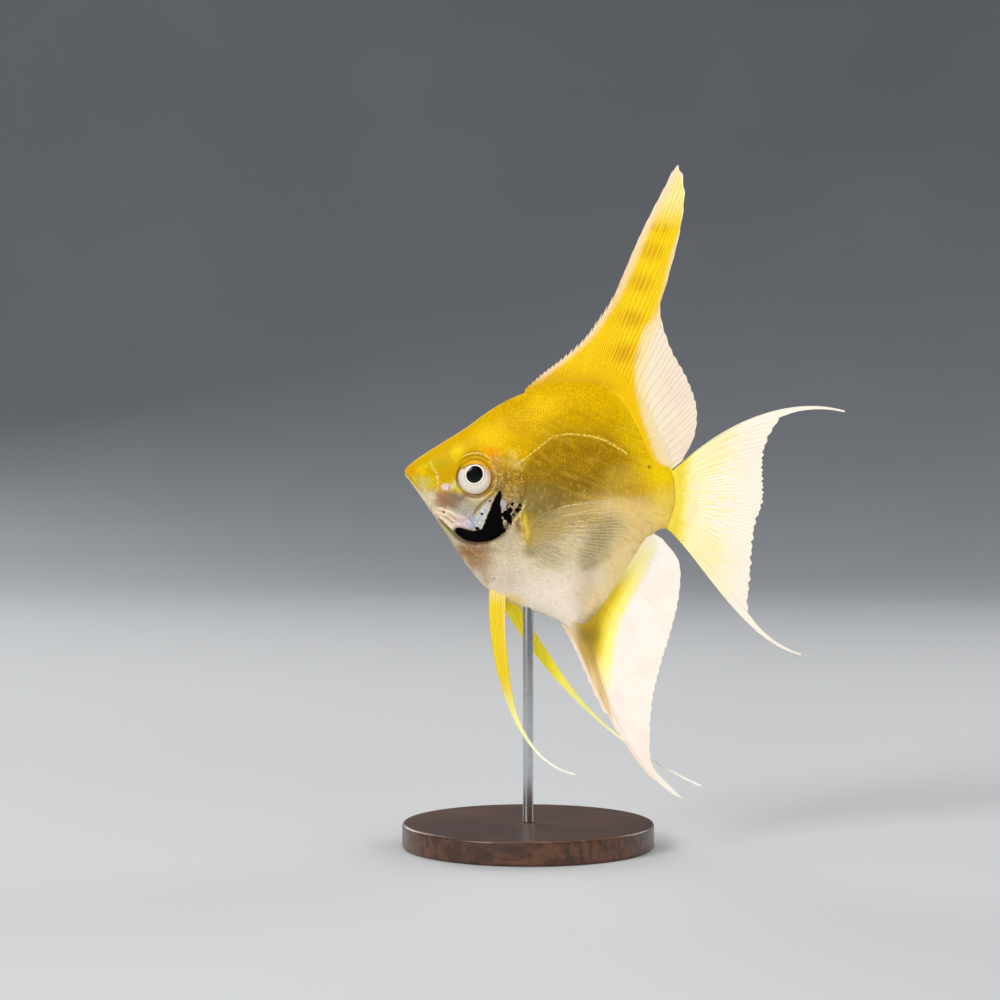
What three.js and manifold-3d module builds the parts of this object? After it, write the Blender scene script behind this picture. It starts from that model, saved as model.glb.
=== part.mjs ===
// Gold freshwater angelfish (Pterophyllum scalare), life size, swimming level on a plain display stand.
// Millimetres, +Z up. The origin is the centre of the underside of the stand's base.
// The head points to -X, the left flank to -Y. The fish is drawn in its own frame: x runs from the
// snout tip to the root of the tail fin, z up, both in standard lengths, and y sideways in millimetres.
import * as THREE from "three";
import { mergeVertices } from "three/addons/utils/BufferGeometryUtils.js";
import Module from "manifold-3d";

const wasm = await Module();
wasm.setup();

// ------------------------------------------------------------------ driving dimensions, mm
const STANDARD_LENGTH = 80; // snout tip to the root of the tail fin
const NOSE_UP = THREE.MathUtils.degToRad(5.1); // pitch of the swimming fish
const SEAM = 0.3; // clearance between neighbouring pieces
const FIN_THICKNESS = 0.6; // membranes
const FIN_ROOT_THICKNESS = 2.6; // scaly sheath where a middle fin grows from the body
const PAIRED_ROOT_THICKNESS = 1.5; // fleshy root of a pelvic or pectoral fin
const PLATE_DEPTH = 1.2; // thickness of a gill cover
const BASE_RADIUS = 36;
const BASE_HEIGHT = 7;
const BASE_BEVEL = 1.2;
const ROD_RADIUS = 1.5;
const ROD_SOCKET = 5; // how far the rod reaches into the belly
const ROD_STATION = 0.487; // where along the belly the rod enters, in standard lengths
const TIP_CLEARANCE = 8; // lowest fin tip to the top of the base

const mm = (share) => share * STANDARD_LENGTH;

// ------------------------------------------------------------------ smooth lines
// A cubic through [knot, value] pairs, with the slope at each from its two neighbours.
function smooth(points) {
  const last = points.length - 1;
  const slope = (i) => {
    const [a, b] = [points[Math.max(i - 1, 0)], points[Math.min(i + 1, last)]];
    return (b[1] - a[1]) / (b[0] - a[0]);
  };
  return (knot) => {
    let i = 0;
    while (i < last - 1 && knot > points[i + 1][0]) i++;
    const [[k0, v0], [k1, v1]] = [points[i], points[i + 1]];
    const span = k1 - k0;
    const t = Math.min(Math.max((knot - k0) / span, 0), 1);
    return (
      v0 * (1 + 2 * t) * (1 - t) ** 2 +
      slope(i) * span * t * (1 - t) ** 2 +
      v1 * t * t * (3 - 2 * t) +
      slope(i + 1) * span * t * t * (t - 1)
    );
  };
}

// A body line: it runs in the square root of x, which rounds it off at the snout.
function bodyLine(points) {
  const line = smooth(points.map(([x, value]) => [Math.sqrt(x), value]));
  return (x) => line(Math.sqrt(Math.max(x, 0)));
}

// ------------------------------------------------------------------ the body's lines
const backLine = bodyLine([
  [0, 0], [0.01, 0.025], [0.03, 0.046], [0.06, 0.071], [0.11, 0.109], [0.2, 0.176], [0.29, 0.253],
  [0.35, 0.294], [0.41, 0.325], [0.52, 0.377], [0.635, 0.405], [0.7, 0.393], [0.76, 0.353],
  [0.82, 0.268], [0.87, 0.172], [0.91, 0.12], [0.95, 0.1], [1, 0.103],
]);
const bellyLine = bodyLine([
  [0, 0], [0.015, -0.026], [0.03, -0.046], [0.06, -0.08], [0.1, -0.128], [0.17, -0.212],
  [0.215, -0.272], [0.265, -0.328], [0.34, -0.395], [0.42, -0.43], [0.5, -0.452], [0.58, -0.472],
  [0.65, -0.505],
  [0.7, -0.513], [0.74, -0.47], [0.79, -0.37], [0.85, -0.252], [0.89, -0.165], [0.93, -0.12],
  [1, -0.118],
]);
const halfWidth = bodyLine([
  [0, 0], [0.01, 0.018], [0.04, 0.034], [0.1, 0.05], [0.17, 0.063], [0.26, 0.077], [0.35, 0.089],
  [0.43, 0.094], [0.52, 0.091], [0.62, 0.08], [0.72, 0.063], [0.82, 0.047], [0.92, 0.034], [1, 0.024],
]);
const widestLevel = bodyLine([
  [0, 0], [0.1, -0.02], [0.25, -0.04], [0.42, -0.07], [0.6, -0.04], [0.8, -0.01], [1, -0.007],
]);
// 1 is a round edge, more is a sharper one
const backSharpness = bodyLine([
  [0, 1], [0.12, 1.05], [0.3, 1.25], [0.5, 1.45], [0.7, 1.45], [0.9, 1.15], [1, 1],
]);
const bellySharpness = bodyLine([
  [0, 1], [0.12, 1.1], [0.3, 0.95], [0.42, 1], [0.55, 1.3], [0.7, 1.5], [0.9, 1.15], [1, 1],
]);
const EDGE_SHARE = 0.1; // part of the half width that is left at the very edge of the body

// The body's sideways reach at a station x and an angle down from the back, 0 to pi.
function flank(x, angle) {
  const sharpness = angle < Math.PI / 2 ? backSharpness(x) : bellySharpness(x);
  const s = Math.sin(angle);
  return halfWidth(x) * (EDGE_SHARE * Math.sqrt(s) + (1 - EDGE_SHARE) * s ** sharpness);
}

// ------------------------------------------------------------------ meshes and solids
function meshOf(points, faces) {
  const geometry = new THREE.BufferGeometry();
  geometry.setAttribute("position", new THREE.Float32BufferAttribute(points.flat(), 3));
  geometry.setIndex(faces.flat());
  return geometry;
}

function solidOf(geometry) {
  const bare = geometry.clone();
  for (const name of ["normal", "uv"]) bare.deleteAttribute(name);
  const merged = mergeVertices(bare, 1e-4);
  return new wasm.Manifold(
    new wasm.Mesh({
      numProp: 3,
      vertProperties: merged.attributes.position.array,
      triVerts: new Uint32Array(merged.index.array),
    }),
  );
}

function geometryOf(solid) {
  const { numProp, numVert, vertProperties, triVerts } = solid.getMesh();
  const points = new Float32Array(numVert * 3);
  for (let i = 0; i < numVert; i++) points.set(vertProperties.subarray(i * numProp, i * numProp + 3), i * 3);
  const geometry = new THREE.BufferGeometry();
  geometry.setAttribute("position", new THREE.BufferAttribute(points, 3));
  geometry.setIndex(new THREE.BufferAttribute(new Uint32Array(triVerts), 1));
  const faceted = geometry.toNonIndexed();
  faceted.computeVertexNormals();
  return faceted;
}

// A closed skin through rings of the same number of points, closed by a fan at each end.
function loft(rings, first, last) {
  const around = rings[0].length;
  const points = [...rings.flat(), first, last];
  const at = (ring, i) => ring * around + (i % around);
  const [start, end] = [points.length - 2, points.length - 1];
  const faces = [];
  for (let i = 0; i < around; i++) {
    faces.push([start, at(0, i + 1), at(0, i)], [end, at(rings.length - 1, i), at(rings.length - 1, i + 1)]);
    for (let r = 0; r + 1 < rings.length; r++) {
      faces.push([at(r, i), at(r, i + 1), at(r + 1, i)], [at(r, i + 1), at(r + 1, i + 1), at(r + 1, i)]);
    }
  }
  return meshOf(points, faces);
}

// The whole body without fins, swollen by grow millimetres all round.
const STATIONS = 30;
const AROUND = 24;
function bodySolid(grow = 0) {
  const rings = [];
  for (let i = 1; i <= STATIONS; i++) {
    const x = (i / STATIONS) ** 1.3;
    const [top, bottom, middle] = [mm(backLine(x)) + grow, mm(bellyLine(x)) - grow, mm(widestLevel(x))];
    const ring = [];
    for (let j = 0; j < AROUND; j++) {
      const turn = (2 * Math.PI * j) / AROUND;
      const side = turn < Math.PI ? -1 : 1;
      const angle = turn < Math.PI ? turn : 2 * Math.PI - turn;
      const reach = angle < Math.PI / 2 ? top - middle : middle - bottom;
      const out = mm(flank(x, angle)) + grow * Math.sin(angle);
      ring.push([mm(x) + grow * (i === STATIONS), side * out, middle + reach * Math.cos(angle)]);
    }
    rings.push(ring);
  }
  return solidOf(loft(rings, [-grow, 0, 0], [STANDARD_LENGTH + grow, 0, 0]));
}

// A prism through the whole width of the fish on an outline of [x, z] pairs in standard lengths.
const THROUGH = 40;
function prism(outline, { from = -THROUGH / 2, to = THROUGH / 2 } = {}) {
  const shape = new THREE.Shape(outline.map(([x, z]) => new THREE.Vector2(mm(x), mm(z))));
  const geometry = new THREE.ExtrudeGeometry(shape, { depth: to - from, bevelEnabled: false });
  geometry.rotateX(Math.PI / 2); // the outline's y becomes z, and the depth runs to -Y
  geometry.translate(0, to, 0);
  return solidOf(geometry);
}

// A cut one seam wide that follows a line of [x, z] pairs, smoothed.
function seamAlong(line) {
  const curve = new THREE.SplineCurve(line.map(([x, z]) => new THREE.Vector2(x, z)));
  const steps = (line.length - 1) * 2;
  const half = SEAM / 2 / STANDARD_LENGTH;
  const side = (sign) =>
    Array.from({ length: steps + 1 }, (_, i) => {
      const point = curve.getPoint(i / steps);
      const tangent = curve.getTangent(i / steps);
      return [point.x - sign * half * tangent.y, point.y + sign * half * tangent.x];
    });
  return prism([...side(-1), ...side(1).reverse()]);
}

// ------------------------------------------------------------------ fins
// A ray is a Bezier curve: root, two handles and tip. Without handles it is straight.
function ray({ u, root, tip, bend }) {
  const third = (share) => [0, 1].map((k) => root[k] + share * (tip[k] - root[k]));
  return { u, points: [root, ...(bend ?? [third(1 / 3), third(2 / 3)]), tip] };
}

// A fan of rays, blended between the key rays: (u across the fan, v along the ray) to [x, z].
function fan(keys) {
  const rays = keys.map(ray);
  const lines = [0, 1, 2, 3].map((n) => [0, 1].map((k) => smooth(rays.map((r) => [r.u, r.points[n][k]]))));
  return (u, v) => {
    const share = [(1 - v) ** 3, 3 * v * (1 - v) ** 2, 3 * v * v * (1 - v), v ** 3];
    return [0, 1].map((k) => share.reduce((sum, s, n) => sum + s * lines[n][k](u), 0));
  };
}

// A ribbon beside a leading ray, as wide as width(v) towards its trailing side.
function ribbon({ points, width, side = 1 }) {
  const [p0, p1, p2, p3] = points.map(([x, z]) => new THREE.Vector2(x, z));
  const lead = new THREE.CubicBezierCurve(p0, p1, p2, p3);
  const wide = smooth(width);
  return (u, v) => {
    const point = lead.getPoint(v);
    const tangent = lead.getTangent(v);
    return [point.x - side * u * wide(v) * tangent.y, point.y + side * u * wide(v) * tangent.x];
  };
}

// A thin plate over (u, v), bent sideways by sway, thick at the root and as thin as a membrane beyond.
// It has a strip of faces between each two of the places across, and as many rows along the rays.
const ROOT_FADE = 5; // how fast the root's sheath thins along a ray
function plate(place, { across, rows, sway, root = FIN_ROOT_THICKNESS, end = () => 1 }) {
  const columns = across.length - 1;
  const points = [];
  for (const side of [-1, 1]) {
    for (const u of across) {
      for (let j = 0; j <= rows; j++) {
        const v = (j / rows) * end(u);
        const [x, z] = place(u, v);
        const thick = FIN_THICKNESS + (root - FIN_THICKNESS) * Math.exp(-ROOT_FADE * v);
        points.push([mm(x), sway(x, z, u, v) + (side * thick) / 2, mm(z)]);
      }
    }
  }
  const at = (side, i, j) => (side * (columns + 1) + i) * (rows + 1) + j;
  const faces = [];
  const quad = (a, b, c, d) => faces.push([a, b, c], [a, c, d]);
  for (let i = 0; i < columns; i++) {
    for (let j = 0; j < rows; j++) {
      quad(at(0, i, j), at(0, i + 1, j), at(0, i + 1, j + 1), at(0, i, j + 1));
      quad(at(1, i, j), at(1, i, j + 1), at(1, i + 1, j + 1), at(1, i + 1, j));
    }
    quad(at(0, i, 0), at(1, i, 0), at(1, i + 1, 0), at(0, i + 1, 0));
    quad(at(0, i, rows), at(0, i + 1, rows), at(1, i + 1, rows), at(1, i, rows));
  }
  for (let j = 0; j < rows; j++) {
    quad(at(0, 0, j), at(0, 0, j + 1), at(1, 0, j + 1), at(1, 0, j));
    quad(at(0, columns, j), at(1, columns, j), at(1, columns, j + 1), at(0, columns, j + 1));
  }
  const solid = solidOf(meshOf(points, faces));
  if (solid.volume() > 0) return solid;
  return solidOf(meshOf(points, faces.map(([a, b, c]) => [a, c, b])));
}

function evenly(count, from = 0, to = 1) {
  return Array.from({ length: count }, (_, i) => from + ((to - from) * i) / count);
}

// The front of a fin is toothed: between two spines the membrane falls back by a share of the ray.
function toothed({ spines, share, depth, soft }) {
  const end = (u) => (u < share ? 1 - depth * Math.sin((Math.PI * spines * u) / share) ** 2 : 1);
  return { across: [...evenly(2 * spines, 0, share), ...evenly(soft, share), 1], end };
}

const ROOT_INSET = 0.03; // how deep a fin's root lies under the back or belly line
const onBack = (x) => [x, backLine(x) - ROOT_INSET];
const onBelly = (x) => [x, bellyLine(x) + ROOT_INSET];

const DORSAL_EDGE = toothed({ spines: 20, share: 0.55, depth: 0.12, soft: 15 });
const dorsalPlace = fan([
  { u: 0, root: onBack(0.4), tip: [0.407, 0.337] },
  { u: 0.13, root: onBack(0.445), tip: [0.467, 0.4] },
  { u: 0.25, root: onBack(0.49), tip: [0.527, 0.455] },
  { u: 0.36, root: onBack(0.54), tip: [0.597, 0.53] },
  { u: 0.46, root: onBack(0.58), tip: [0.65, 0.617] },
  { u: 0.54, root: onBack(0.61), tip: [0.7, 0.72] },
  { u: 0.6, root: onBack(0.64), tip: [0.766, 0.92] },
  { u: 0.64, root: onBack(0.66), tip: [0.829, 1.08] },
  { u: 0.67, root: onBack(0.675), tip: [0.872, 1.171] },
  { u: 0.7, root: onBack(0.69), tip: [0.906, 1.077] },
  { u: 0.73, root: onBack(0.71), tip: [0.901, 0.924] },
  { u: 0.76, root: onBack(0.735), tip: [0.875, 0.761] },
  { u: 0.79, root: onBack(0.76), tip: [0.859, 0.659] },
  { u: 0.83, root: onBack(0.795), tip: [0.905, 0.532] },
  { u: 0.88, root: onBack(0.835), tip: [0.973, 0.428] },
  { u: 0.93, root: onBack(0.87), tip: [1.018, 0.328] },
  { u: 0.97, root: onBack(0.9), tip: [1.021, 0.224] },
  { u: 1, root: onBack(0.93), tip: [0.985, 0.13] },
]);

const ANAL_EDGE = toothed({ spines: 9, share: 0.4, depth: 0.07, soft: 15 });
const analPlace = fan([
  { u: 0, root: onBelly(0.605), tip: [0.614, -0.494] },
  { u: 0.12, root: onBelly(0.632), tip: [0.662, -0.564] },
  { u: 0.24, root: onBelly(0.655), tip: [0.712, -0.654] },
  { u: 0.34, root: onBelly(0.675), tip: [0.776, -0.764] },
  { u: 0.42, root: onBelly(0.69), tip: [0.866, -0.872] },
  { u: 0.48, root: onBelly(0.7), tip: [0.972, -0.988], bend: [[0.745, -0.68], [0.875, -0.88]] },
  { u: 0.52, root: onBelly(0.708), tip: [1.1, -1.056], bend: [[0.76, -0.69], [0.94, -1.02]] },
  { u: 0.56, root: onBelly(0.716), tip: [0.989, -0.963], bend: [[0.79, -0.68], [0.91, -0.86]] },
  { u: 0.61, root: onBelly(0.727), tip: [0.963, -0.851] },
  { u: 0.68, root: onBelly(0.742), tip: [0.96, -0.72] },
  { u: 0.76, root: onBelly(0.768), tip: [0.978, -0.59] },
  { u: 0.84, root: onBelly(0.803), tip: [1.004, -0.461] },
  { u: 0.91, root: onBelly(0.842), tip: [1.019, -0.334] },
  { u: 0.96, root: onBelly(0.872), tip: [1.006, -0.224] },
  { u: 1, root: onBelly(0.895), tip: [0.941, -0.15] },
]);

const tailPlace = fan([
  { u: 0, root: [0.955, 0.088], tip: [1.338, 0.34], bend: [[1.05, 0.2], [1.19, 0.305]] },
  { u: 0.06, root: [0.96, 0.075], tip: [1.292, 0.266], bend: [[1.06, 0.172], [1.2, 0.258]] },
  { u: 0.16, root: [0.966, 0.06], tip: [1.27, 0.183] },
  { u: 0.5, root: [0.975, -0.006], tip: [1.283, 0.012] },
  { u: 0.62, root: [0.974, -0.035], tip: [1.263, -0.079] },
  { u: 0.84, root: [0.966, -0.075], tip: [1.264, -0.273] },
  { u: 0.95, root: [0.96, -0.095], tip: [1.268, -0.383], bend: [[1.06, -0.17], [1.19, -0.32]] },
  { u: 1, root: [0.955, -0.108], tip: [1.313, -0.455], bend: [[1.05, -0.165], [1.17, -0.345]] },
]);
const upperStreamer = ribbon({
  points: [[0.955, 0.088], [1.1, 0.27], [1.33, 0.4], [1.537, 0.358]],
  width: [[0, 0.02], [0.4, 0.03], [0.62, 0.028], [0.72, 0.018], [0.85, 0.011], [1, 0.006]],
  side: -1,
});
const lowerStreamer = ribbon({
  points: [[0.945, -0.108], [1.06, -0.17], [1.25, -0.49], [1.464, -0.516]],
  width: [[0, 0.02], [0.4, 0.03], [0.62, 0.028], [0.75, 0.015], [0.9, 0.009], [1, 0.006]],
});

const PELVIC_WIDTH = [
  [0, 0.06], [0.2, 0.052], [0.34, 0.042], [0.46, 0.028], [0.56, 0.016], [0.72, 0.009], [1, 0.006],
];
const leftPelvicPlace = ribbon({
  points: [[0.345, -0.385], [0.365, -0.64], [0.495, -0.99], [0.714, -1.01]],
  width: PELVIC_WIDTH,
});
const rightPelvicPlace = ribbon({
  points: [[0.35, -0.385], [0.475, -0.61], [0.775, -0.91], [1.153, -1.022]],
  width: PELVIC_WIDTH,
});

const pectoralPlace = fan([
  { u: 0, root: [0.465, -0.135], tip: [0.78, -0.029], bend: [[0.57, -0.06], [0.68, -0.03]] },
  { u: 0.15, root: [0.468, -0.145], tip: [0.829, -0.068] },
  { u: 0.35, root: [0.471, -0.165], tip: [0.824, -0.128] },
  { u: 0.6, root: [0.473, -0.185], tip: [0.77, -0.207] },
  { u: 0.8, root: [0.473, -0.2], tip: [0.692, -0.261] },
  { u: 1, root: [0.471, -0.215], tip: [0.593, -0.286], bend: [[0.505, -0.245], [0.545, -0.272]] },
]);

// Sideways sway of the fins, in mm: each leaves the body in its middle plane and curls away from it.
const SWAY = { dorsal: 6, dorsalRipple: 0.5, anal: -7, analRipple: -0.8, tail: 14, tailTwist: -5 };
const beyond = (value, edge) => Math.max(value - edge, 0);
const dorsalSway = (x, z) =>
  SWAY.dorsal * beyond(z, 0.42) ** 1.5 + SWAY.dorsalRipple * Math.sin(14 * x) * beyond(z, 0.4);
const analSway = (x, z) =>
  SWAY.anal * beyond(-z, 0.5) ** 1.5 + SWAY.analRipple * Math.sin(9 * z) * beyond(x, 0.8);
const tailSway = (x, z) => SWAY.tail * beyond(x, 1) ** 2 + SWAY.tailTwist * z * beyond(x, 1.05);

// A pelvic fin leaves the breast beside the middle plane, spreads outwards and turns in at its tip.
const PELVIC = { root: 3.4, spread: 11, turnIn: 9, tilt: 1.2 };
const pelvicSway = (side) => (x, z, u, v) =>
  side * (PELVIC.root + PELVIC.spread * v - PELVIC.turnIn * v * v - PELVIC.tilt * u * (1 - v));

// A pectoral fin is flat and stands off the flank at a slope.
const PECTORAL = { root: 6.6, slope: 0.22, from: 0.465 };
const pectoralSway = (side) => (x) => side * (PECTORAL.root + PECTORAL.slope * mm(x - PECTORAL.from));

// ------------------------------------------------------------------ building the pieces
const body = bodySolid();
const clearOfBody = bodySolid(SEAM);
const underPlates = bodySolid(-PLATE_DEPTH);
const underGap = bodySolid(-PLATE_DEPTH - SEAM);

// The gill cover: from the edge of the cheek plate round to the gill opening.
const gillCoverOutline = [
  [0.363, 0.078], [0.356, -0.028], [0.321, -0.107], [0.303, -0.162], [0.222, -0.185], [0.226, -0.204],
  [0.267, -0.218], [0.32, -0.211], [0.366, -0.177], [0.396, -0.135], [0.422, -0.08], [0.443, -0.015],
  [0.431, 0.048], [0.408, 0.088],
];
function grown(outline, share) {
  const count = outline.length;
  const area = outline.reduce((sum, [x, z], i) => {
    const [nx, nz] = outline[(i + 1) % count];
    return sum + (x * nz - nx * z) / 2;
  }, 0);
  return outline.map(([x, z], i) => {
    const before = outline[(i + count - 1) % count];
    const after = outline[(i + 1) % count];
    const a = new THREE.Vector2(x - before[0], z - before[1]).normalize();
    const b = new THREE.Vector2(after[0] - x, after[1] - z).normalize();
    const out = new THREE.Vector2(a.y + b.y, -a.x - b.x).multiplyScalar(Math.sign(area));
    const reach = (2 * share) / out.lengthSq(); // keeps both edges parallel at the corner
    return [x + out.x * reach, z + out.y * reach];
  });
}
const gillCovers = body.subtract(underPlates).intersect(prism(gillCoverOutline)).decompose();
const gillRecess = prism(grown(gillCoverOutline, SEAM / STANDARD_LENGTH)).subtract(underGap);

// Eyes: flattened balls, set into the head at the widest part of the cheek.
const EYE = { x: 0.265, z: 0.006, radius: 0.066, depth: 3, side: 4.2 };
function eyeBall(side, grow = 0) {
  const ball = new THREE.SphereGeometry(1, 18, 10);
  ball.rotateX(Math.PI / 2);
  ball.scale(mm(EYE.radius) + grow, EYE.depth + grow, mm(EYE.radius) + grow);
  ball.translate(mm(EYE.x), side * EYE.side, mm(EYE.z));
  return solidOf(ball);
}

// Thin cuts part the body where its parts meet.
const GILL_OPENING = [
  [0.355, 0.4], [0.385, 0.24], [0.406, 0.14], [0.437, 0.058], [0.45, -0.015], [0.429, -0.082],
  [0.403, -0.138], [0.373, -0.182], [0.352, -0.26], [0.33, -0.48],
];
const STALK_ROOT = [[0.875, 0.35], [0.89, 0.1], [0.89, -0.1], [0.87, -0.35]];
const MOUTH = [
  [-0.05, 0.012], [0, -0.003], [0.035, -0.03], [0.085, -0.08], [0.13, -0.12], [0.13, -0.155], [0.06, -0.2],
];
const LIP_FOLD = [[0.03, 0.14], [0.07, 0.075], [0.1, 0.036], [0.118, -0.005], [0.11, -0.045], [0.09, -0.084]];
let parted = body.subtract(gillRecess).subtract(eyeBall(-1, SEAM)).subtract(eyeBall(1, SEAM));
for (const line of [GILL_OPENING, STALK_ROOT, MOUTH, LIP_FOLD]) parted = parted.subtract(seamAlong(line));

// The rod stands upright under the belly, so in the fish's own frame it leans by the pitch.
const rodFoot = new THREE.Vector3(mm(ROD_STATION), 0, mm(bellyLine(ROD_STATION)));
const socket = new THREE.CylinderGeometry(ROD_RADIUS + SEAM, ROD_RADIUS + SEAM, 4 * ROD_SOCKET, 16);
socket.rotateX(Math.PI / 2);
socket.translate(0, 0, SEAM - ROD_SOCKET);
socket.rotateY(-NOSE_UP);
socket.translate(rodFoot.x, 0, rodFoot.z);
parted = parted.subtract(solidOf(socket));

// The piece of the parted body whose middle lies nearest to a point of the flank.
const pieces = parted.decompose().filter((piece) => piece.volume() > 1);
function pieceAt(x, z) {
  const distance = (piece) => {
    const { min, max } = piece.boundingBox();
    return Math.hypot((min[0] + max[0]) / 2 - mm(x), (min[2] + max[2]) / 2 - mm(z));
  };
  return pieces.reduce((best, piece) => (distance(piece) < distance(best) ? piece : best));
}
function onSide(solids, side) {
  return solids.find((solid) => {
    const { min, max } = solid.boundingBox();
    return Math.sign(min[1] + max[1]) === side;
  });
}

const dorsalFin = plate(dorsalPlace, { ...DORSAL_EDGE, rows: 3, sway: dorsalSway });
const analFin = plate(analPlace, { ...ANAL_EDGE, rows: 4, sway: analSway });
const tailFan = plate(tailPlace, { across: [...evenly(14), 1], rows: 5, sway: tailSway });
const streamerOf = (place) => plate(place, { across: [0, 1], rows: 16, sway: tailSway });
const tailFin = tailFan.add(streamerOf(upperStreamer)).add(streamerOf(lowerStreamer));
const LEFT = -1;
const RIGHT = 1;
const pelvicFin = (place, side) =>
  plate(place, { across: [0, 0.4, 1], rows: 18, sway: pelvicSway(side), root: PAIRED_ROOT_THICKNESS });
function pectoralFin(side) {
  const across = [...evenly(11), 1];
  return plate(pectoralPlace, { across, rows: 4, sway: pectoralSway(side), root: PAIRED_ROOT_THICKNESS });
}

// ------------------------------------------------------------------ materials
function finish(color, roughness, metalness = 0) {
  return new THREE.MeshStandardMaterial({ color, roughness, metalness });
}
const goldSkin = finish(0xe0b020, 0.38);
const paleSkin = finish(0xd9c48a, 0.4);
const gillSkin = finish(0x8f8570, 0.3);
const eyeGloss = finish(0xe9e2cf, 0.12);
const creamFin = finish(0xf2e6c4, 0.45);
const yellowFin = finish(0xf0cf2a, 0.42);
const clearFin = finish(0xe6dcb4, 0.4);
const walnut = finish(0x3b2417, 0.4);
const steel = finish(0xb9bcc0, 0.28, 1);

// ------------------------------------------------------------------ the scene graph
const fish = new THREE.Group();
function add(name, solid, material, group = fish) {
  const mesh = new THREE.Mesh(geometryOf(solid), material);
  mesh.name = name;
  group.add(mesh);
}
add("head", pieceAt(0.22, 0), goldSkin);
add("upper_jaw", pieceAt(0.04, 0.02), goldSkin);
add("lower_jaw", pieceAt(0.07, -0.08), paleSkin);
add("trunk", pieceAt(0.62, -0.05), goldSkin);
add("tail_stalk", pieceAt(0.94, 0), goldSkin);
add("gill_cover_left", onSide(gillCovers, LEFT), gillSkin);
add("gill_cover_right", onSide(gillCovers, RIGHT), gillSkin);
add("eye_left", eyeBall(LEFT), eyeGloss);
add("eye_right", eyeBall(RIGHT), eyeGloss);
add("dorsal_fin", dorsalFin.subtract(clearOfBody), creamFin);
add("anal_fin", analFin.subtract(clearOfBody), creamFin);
add("tail_fin", tailFin.subtract(clearOfBody), creamFin);
add("pelvic_fin_left", pelvicFin(leftPelvicPlace, LEFT).subtract(clearOfBody), yellowFin);
add("pelvic_fin_right", pelvicFin(rightPelvicPlace, RIGHT).subtract(clearOfBody), yellowFin);
add("pectoral_fin_left", pectoralFin(LEFT).subtract(clearOfBody), clearFin);
add("pectoral_fin_right", pectoralFin(RIGHT).subtract(clearOfBody), clearFin);

// The fish hangs so that its lowest fin tip clears the base, with the rod's foot over the origin.
fish.rotation.y = NOSE_UP;
fish.updateMatrixWorld(true);
const lowest = new THREE.Box3().setFromObject(fish).min.z;
const lift = BASE_HEIGHT + TIP_CLEARANCE - lowest;
const belly = rodFoot.clone().applyMatrix4(fish.matrixWorld);
fish.position.set(-belly.x, 0, lift);

const model = new THREE.Group();
model.add(fish);

const disc = new THREE.LatheGeometry(
  [
    [0, 0], [BASE_RADIUS - BASE_BEVEL / 2, 0], [BASE_RADIUS, BASE_BEVEL / 2],
    [BASE_RADIUS, BASE_HEIGHT - BASE_BEVEL], [BASE_RADIUS - BASE_BEVEL, BASE_HEIGHT], [0, BASE_HEIGHT],
  ].map(([r, h]) => new THREE.Vector2(r, h)),
  48,
);
disc.rotateX(Math.PI / 2);
const rodTop = belly.z + lift + ROD_SOCKET - SEAM;
const rodBottom = BASE_HEIGHT + SEAM;
const rod = new THREE.CylinderGeometry(ROD_RADIUS, ROD_RADIUS, rodTop - rodBottom, 20);
rod.rotateX(Math.PI / 2);
rod.translate(0, 0, (rodTop + rodBottom) / 2);
add("stand_base", solidOf(disc), walnut, model);
add("stand_rod", solidOf(rod), steel, model);

export default model;
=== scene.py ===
# %% [markdown]
# # A gold freshwater angelfish, dressed over its solids
# The solids give the fish its outline and its parts. This script lays one skin over the flesh, a
# coat of real scales over the skin, fins with their rays, eyes, and the finish of the stand.
# Everything is worked out in the fish's own frame first: x runs from the snout tip to the root of
# the tail fin and z up, both in standard lengths, because a fish is described in shares of that
# length.

import functools
import math
from types import SimpleNamespace

import bpy
import numpy as np
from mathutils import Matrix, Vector


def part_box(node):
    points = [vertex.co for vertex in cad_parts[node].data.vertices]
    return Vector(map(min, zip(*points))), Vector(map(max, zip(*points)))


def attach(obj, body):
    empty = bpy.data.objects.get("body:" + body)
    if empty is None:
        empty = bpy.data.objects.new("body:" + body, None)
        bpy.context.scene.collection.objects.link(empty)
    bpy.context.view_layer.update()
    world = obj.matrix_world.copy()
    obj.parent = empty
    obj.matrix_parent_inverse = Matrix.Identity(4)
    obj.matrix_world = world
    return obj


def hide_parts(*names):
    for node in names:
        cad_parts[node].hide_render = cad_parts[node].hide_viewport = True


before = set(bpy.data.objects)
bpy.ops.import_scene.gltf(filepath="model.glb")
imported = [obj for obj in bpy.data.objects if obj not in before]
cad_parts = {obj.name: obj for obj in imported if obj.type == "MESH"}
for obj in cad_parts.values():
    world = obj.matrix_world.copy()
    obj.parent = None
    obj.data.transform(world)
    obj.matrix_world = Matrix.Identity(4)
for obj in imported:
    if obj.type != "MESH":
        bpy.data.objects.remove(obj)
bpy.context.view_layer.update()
print("solids:", len(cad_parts), "nodes")

# %% [markdown]
# ## The fish's own frame
# The fish swims with its nose a little up. The eye is the best landmark for placing that frame,
# since it is a ball whose centre does not move when the fish is tilted. Points are kept in
# millimetres until a mesh is made, then turned and moved into the world in one step.

# %% Fish frame to world
STANDARD_LENGTH = 80.0  # mm
NOSE_UP = math.radians(5.1)
EYE_X, EYE_Z = 0.265, 0.006  # standard lengths
MM = 0.001

eye_low, eye_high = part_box("eye_left")
eye_middle = (eye_low + eye_high) / 2
forward, upward = math.cos(NOSE_UP), math.sin(NOSE_UP)
SNOUT_X = eye_middle.x - MM * STANDARD_LENGTH * (EYE_X * forward + EYE_Z * upward)
SNOUT_Z = eye_middle.z - MM * STANDARD_LENGTH * (EYE_Z * forward - EYE_X * upward)


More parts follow.
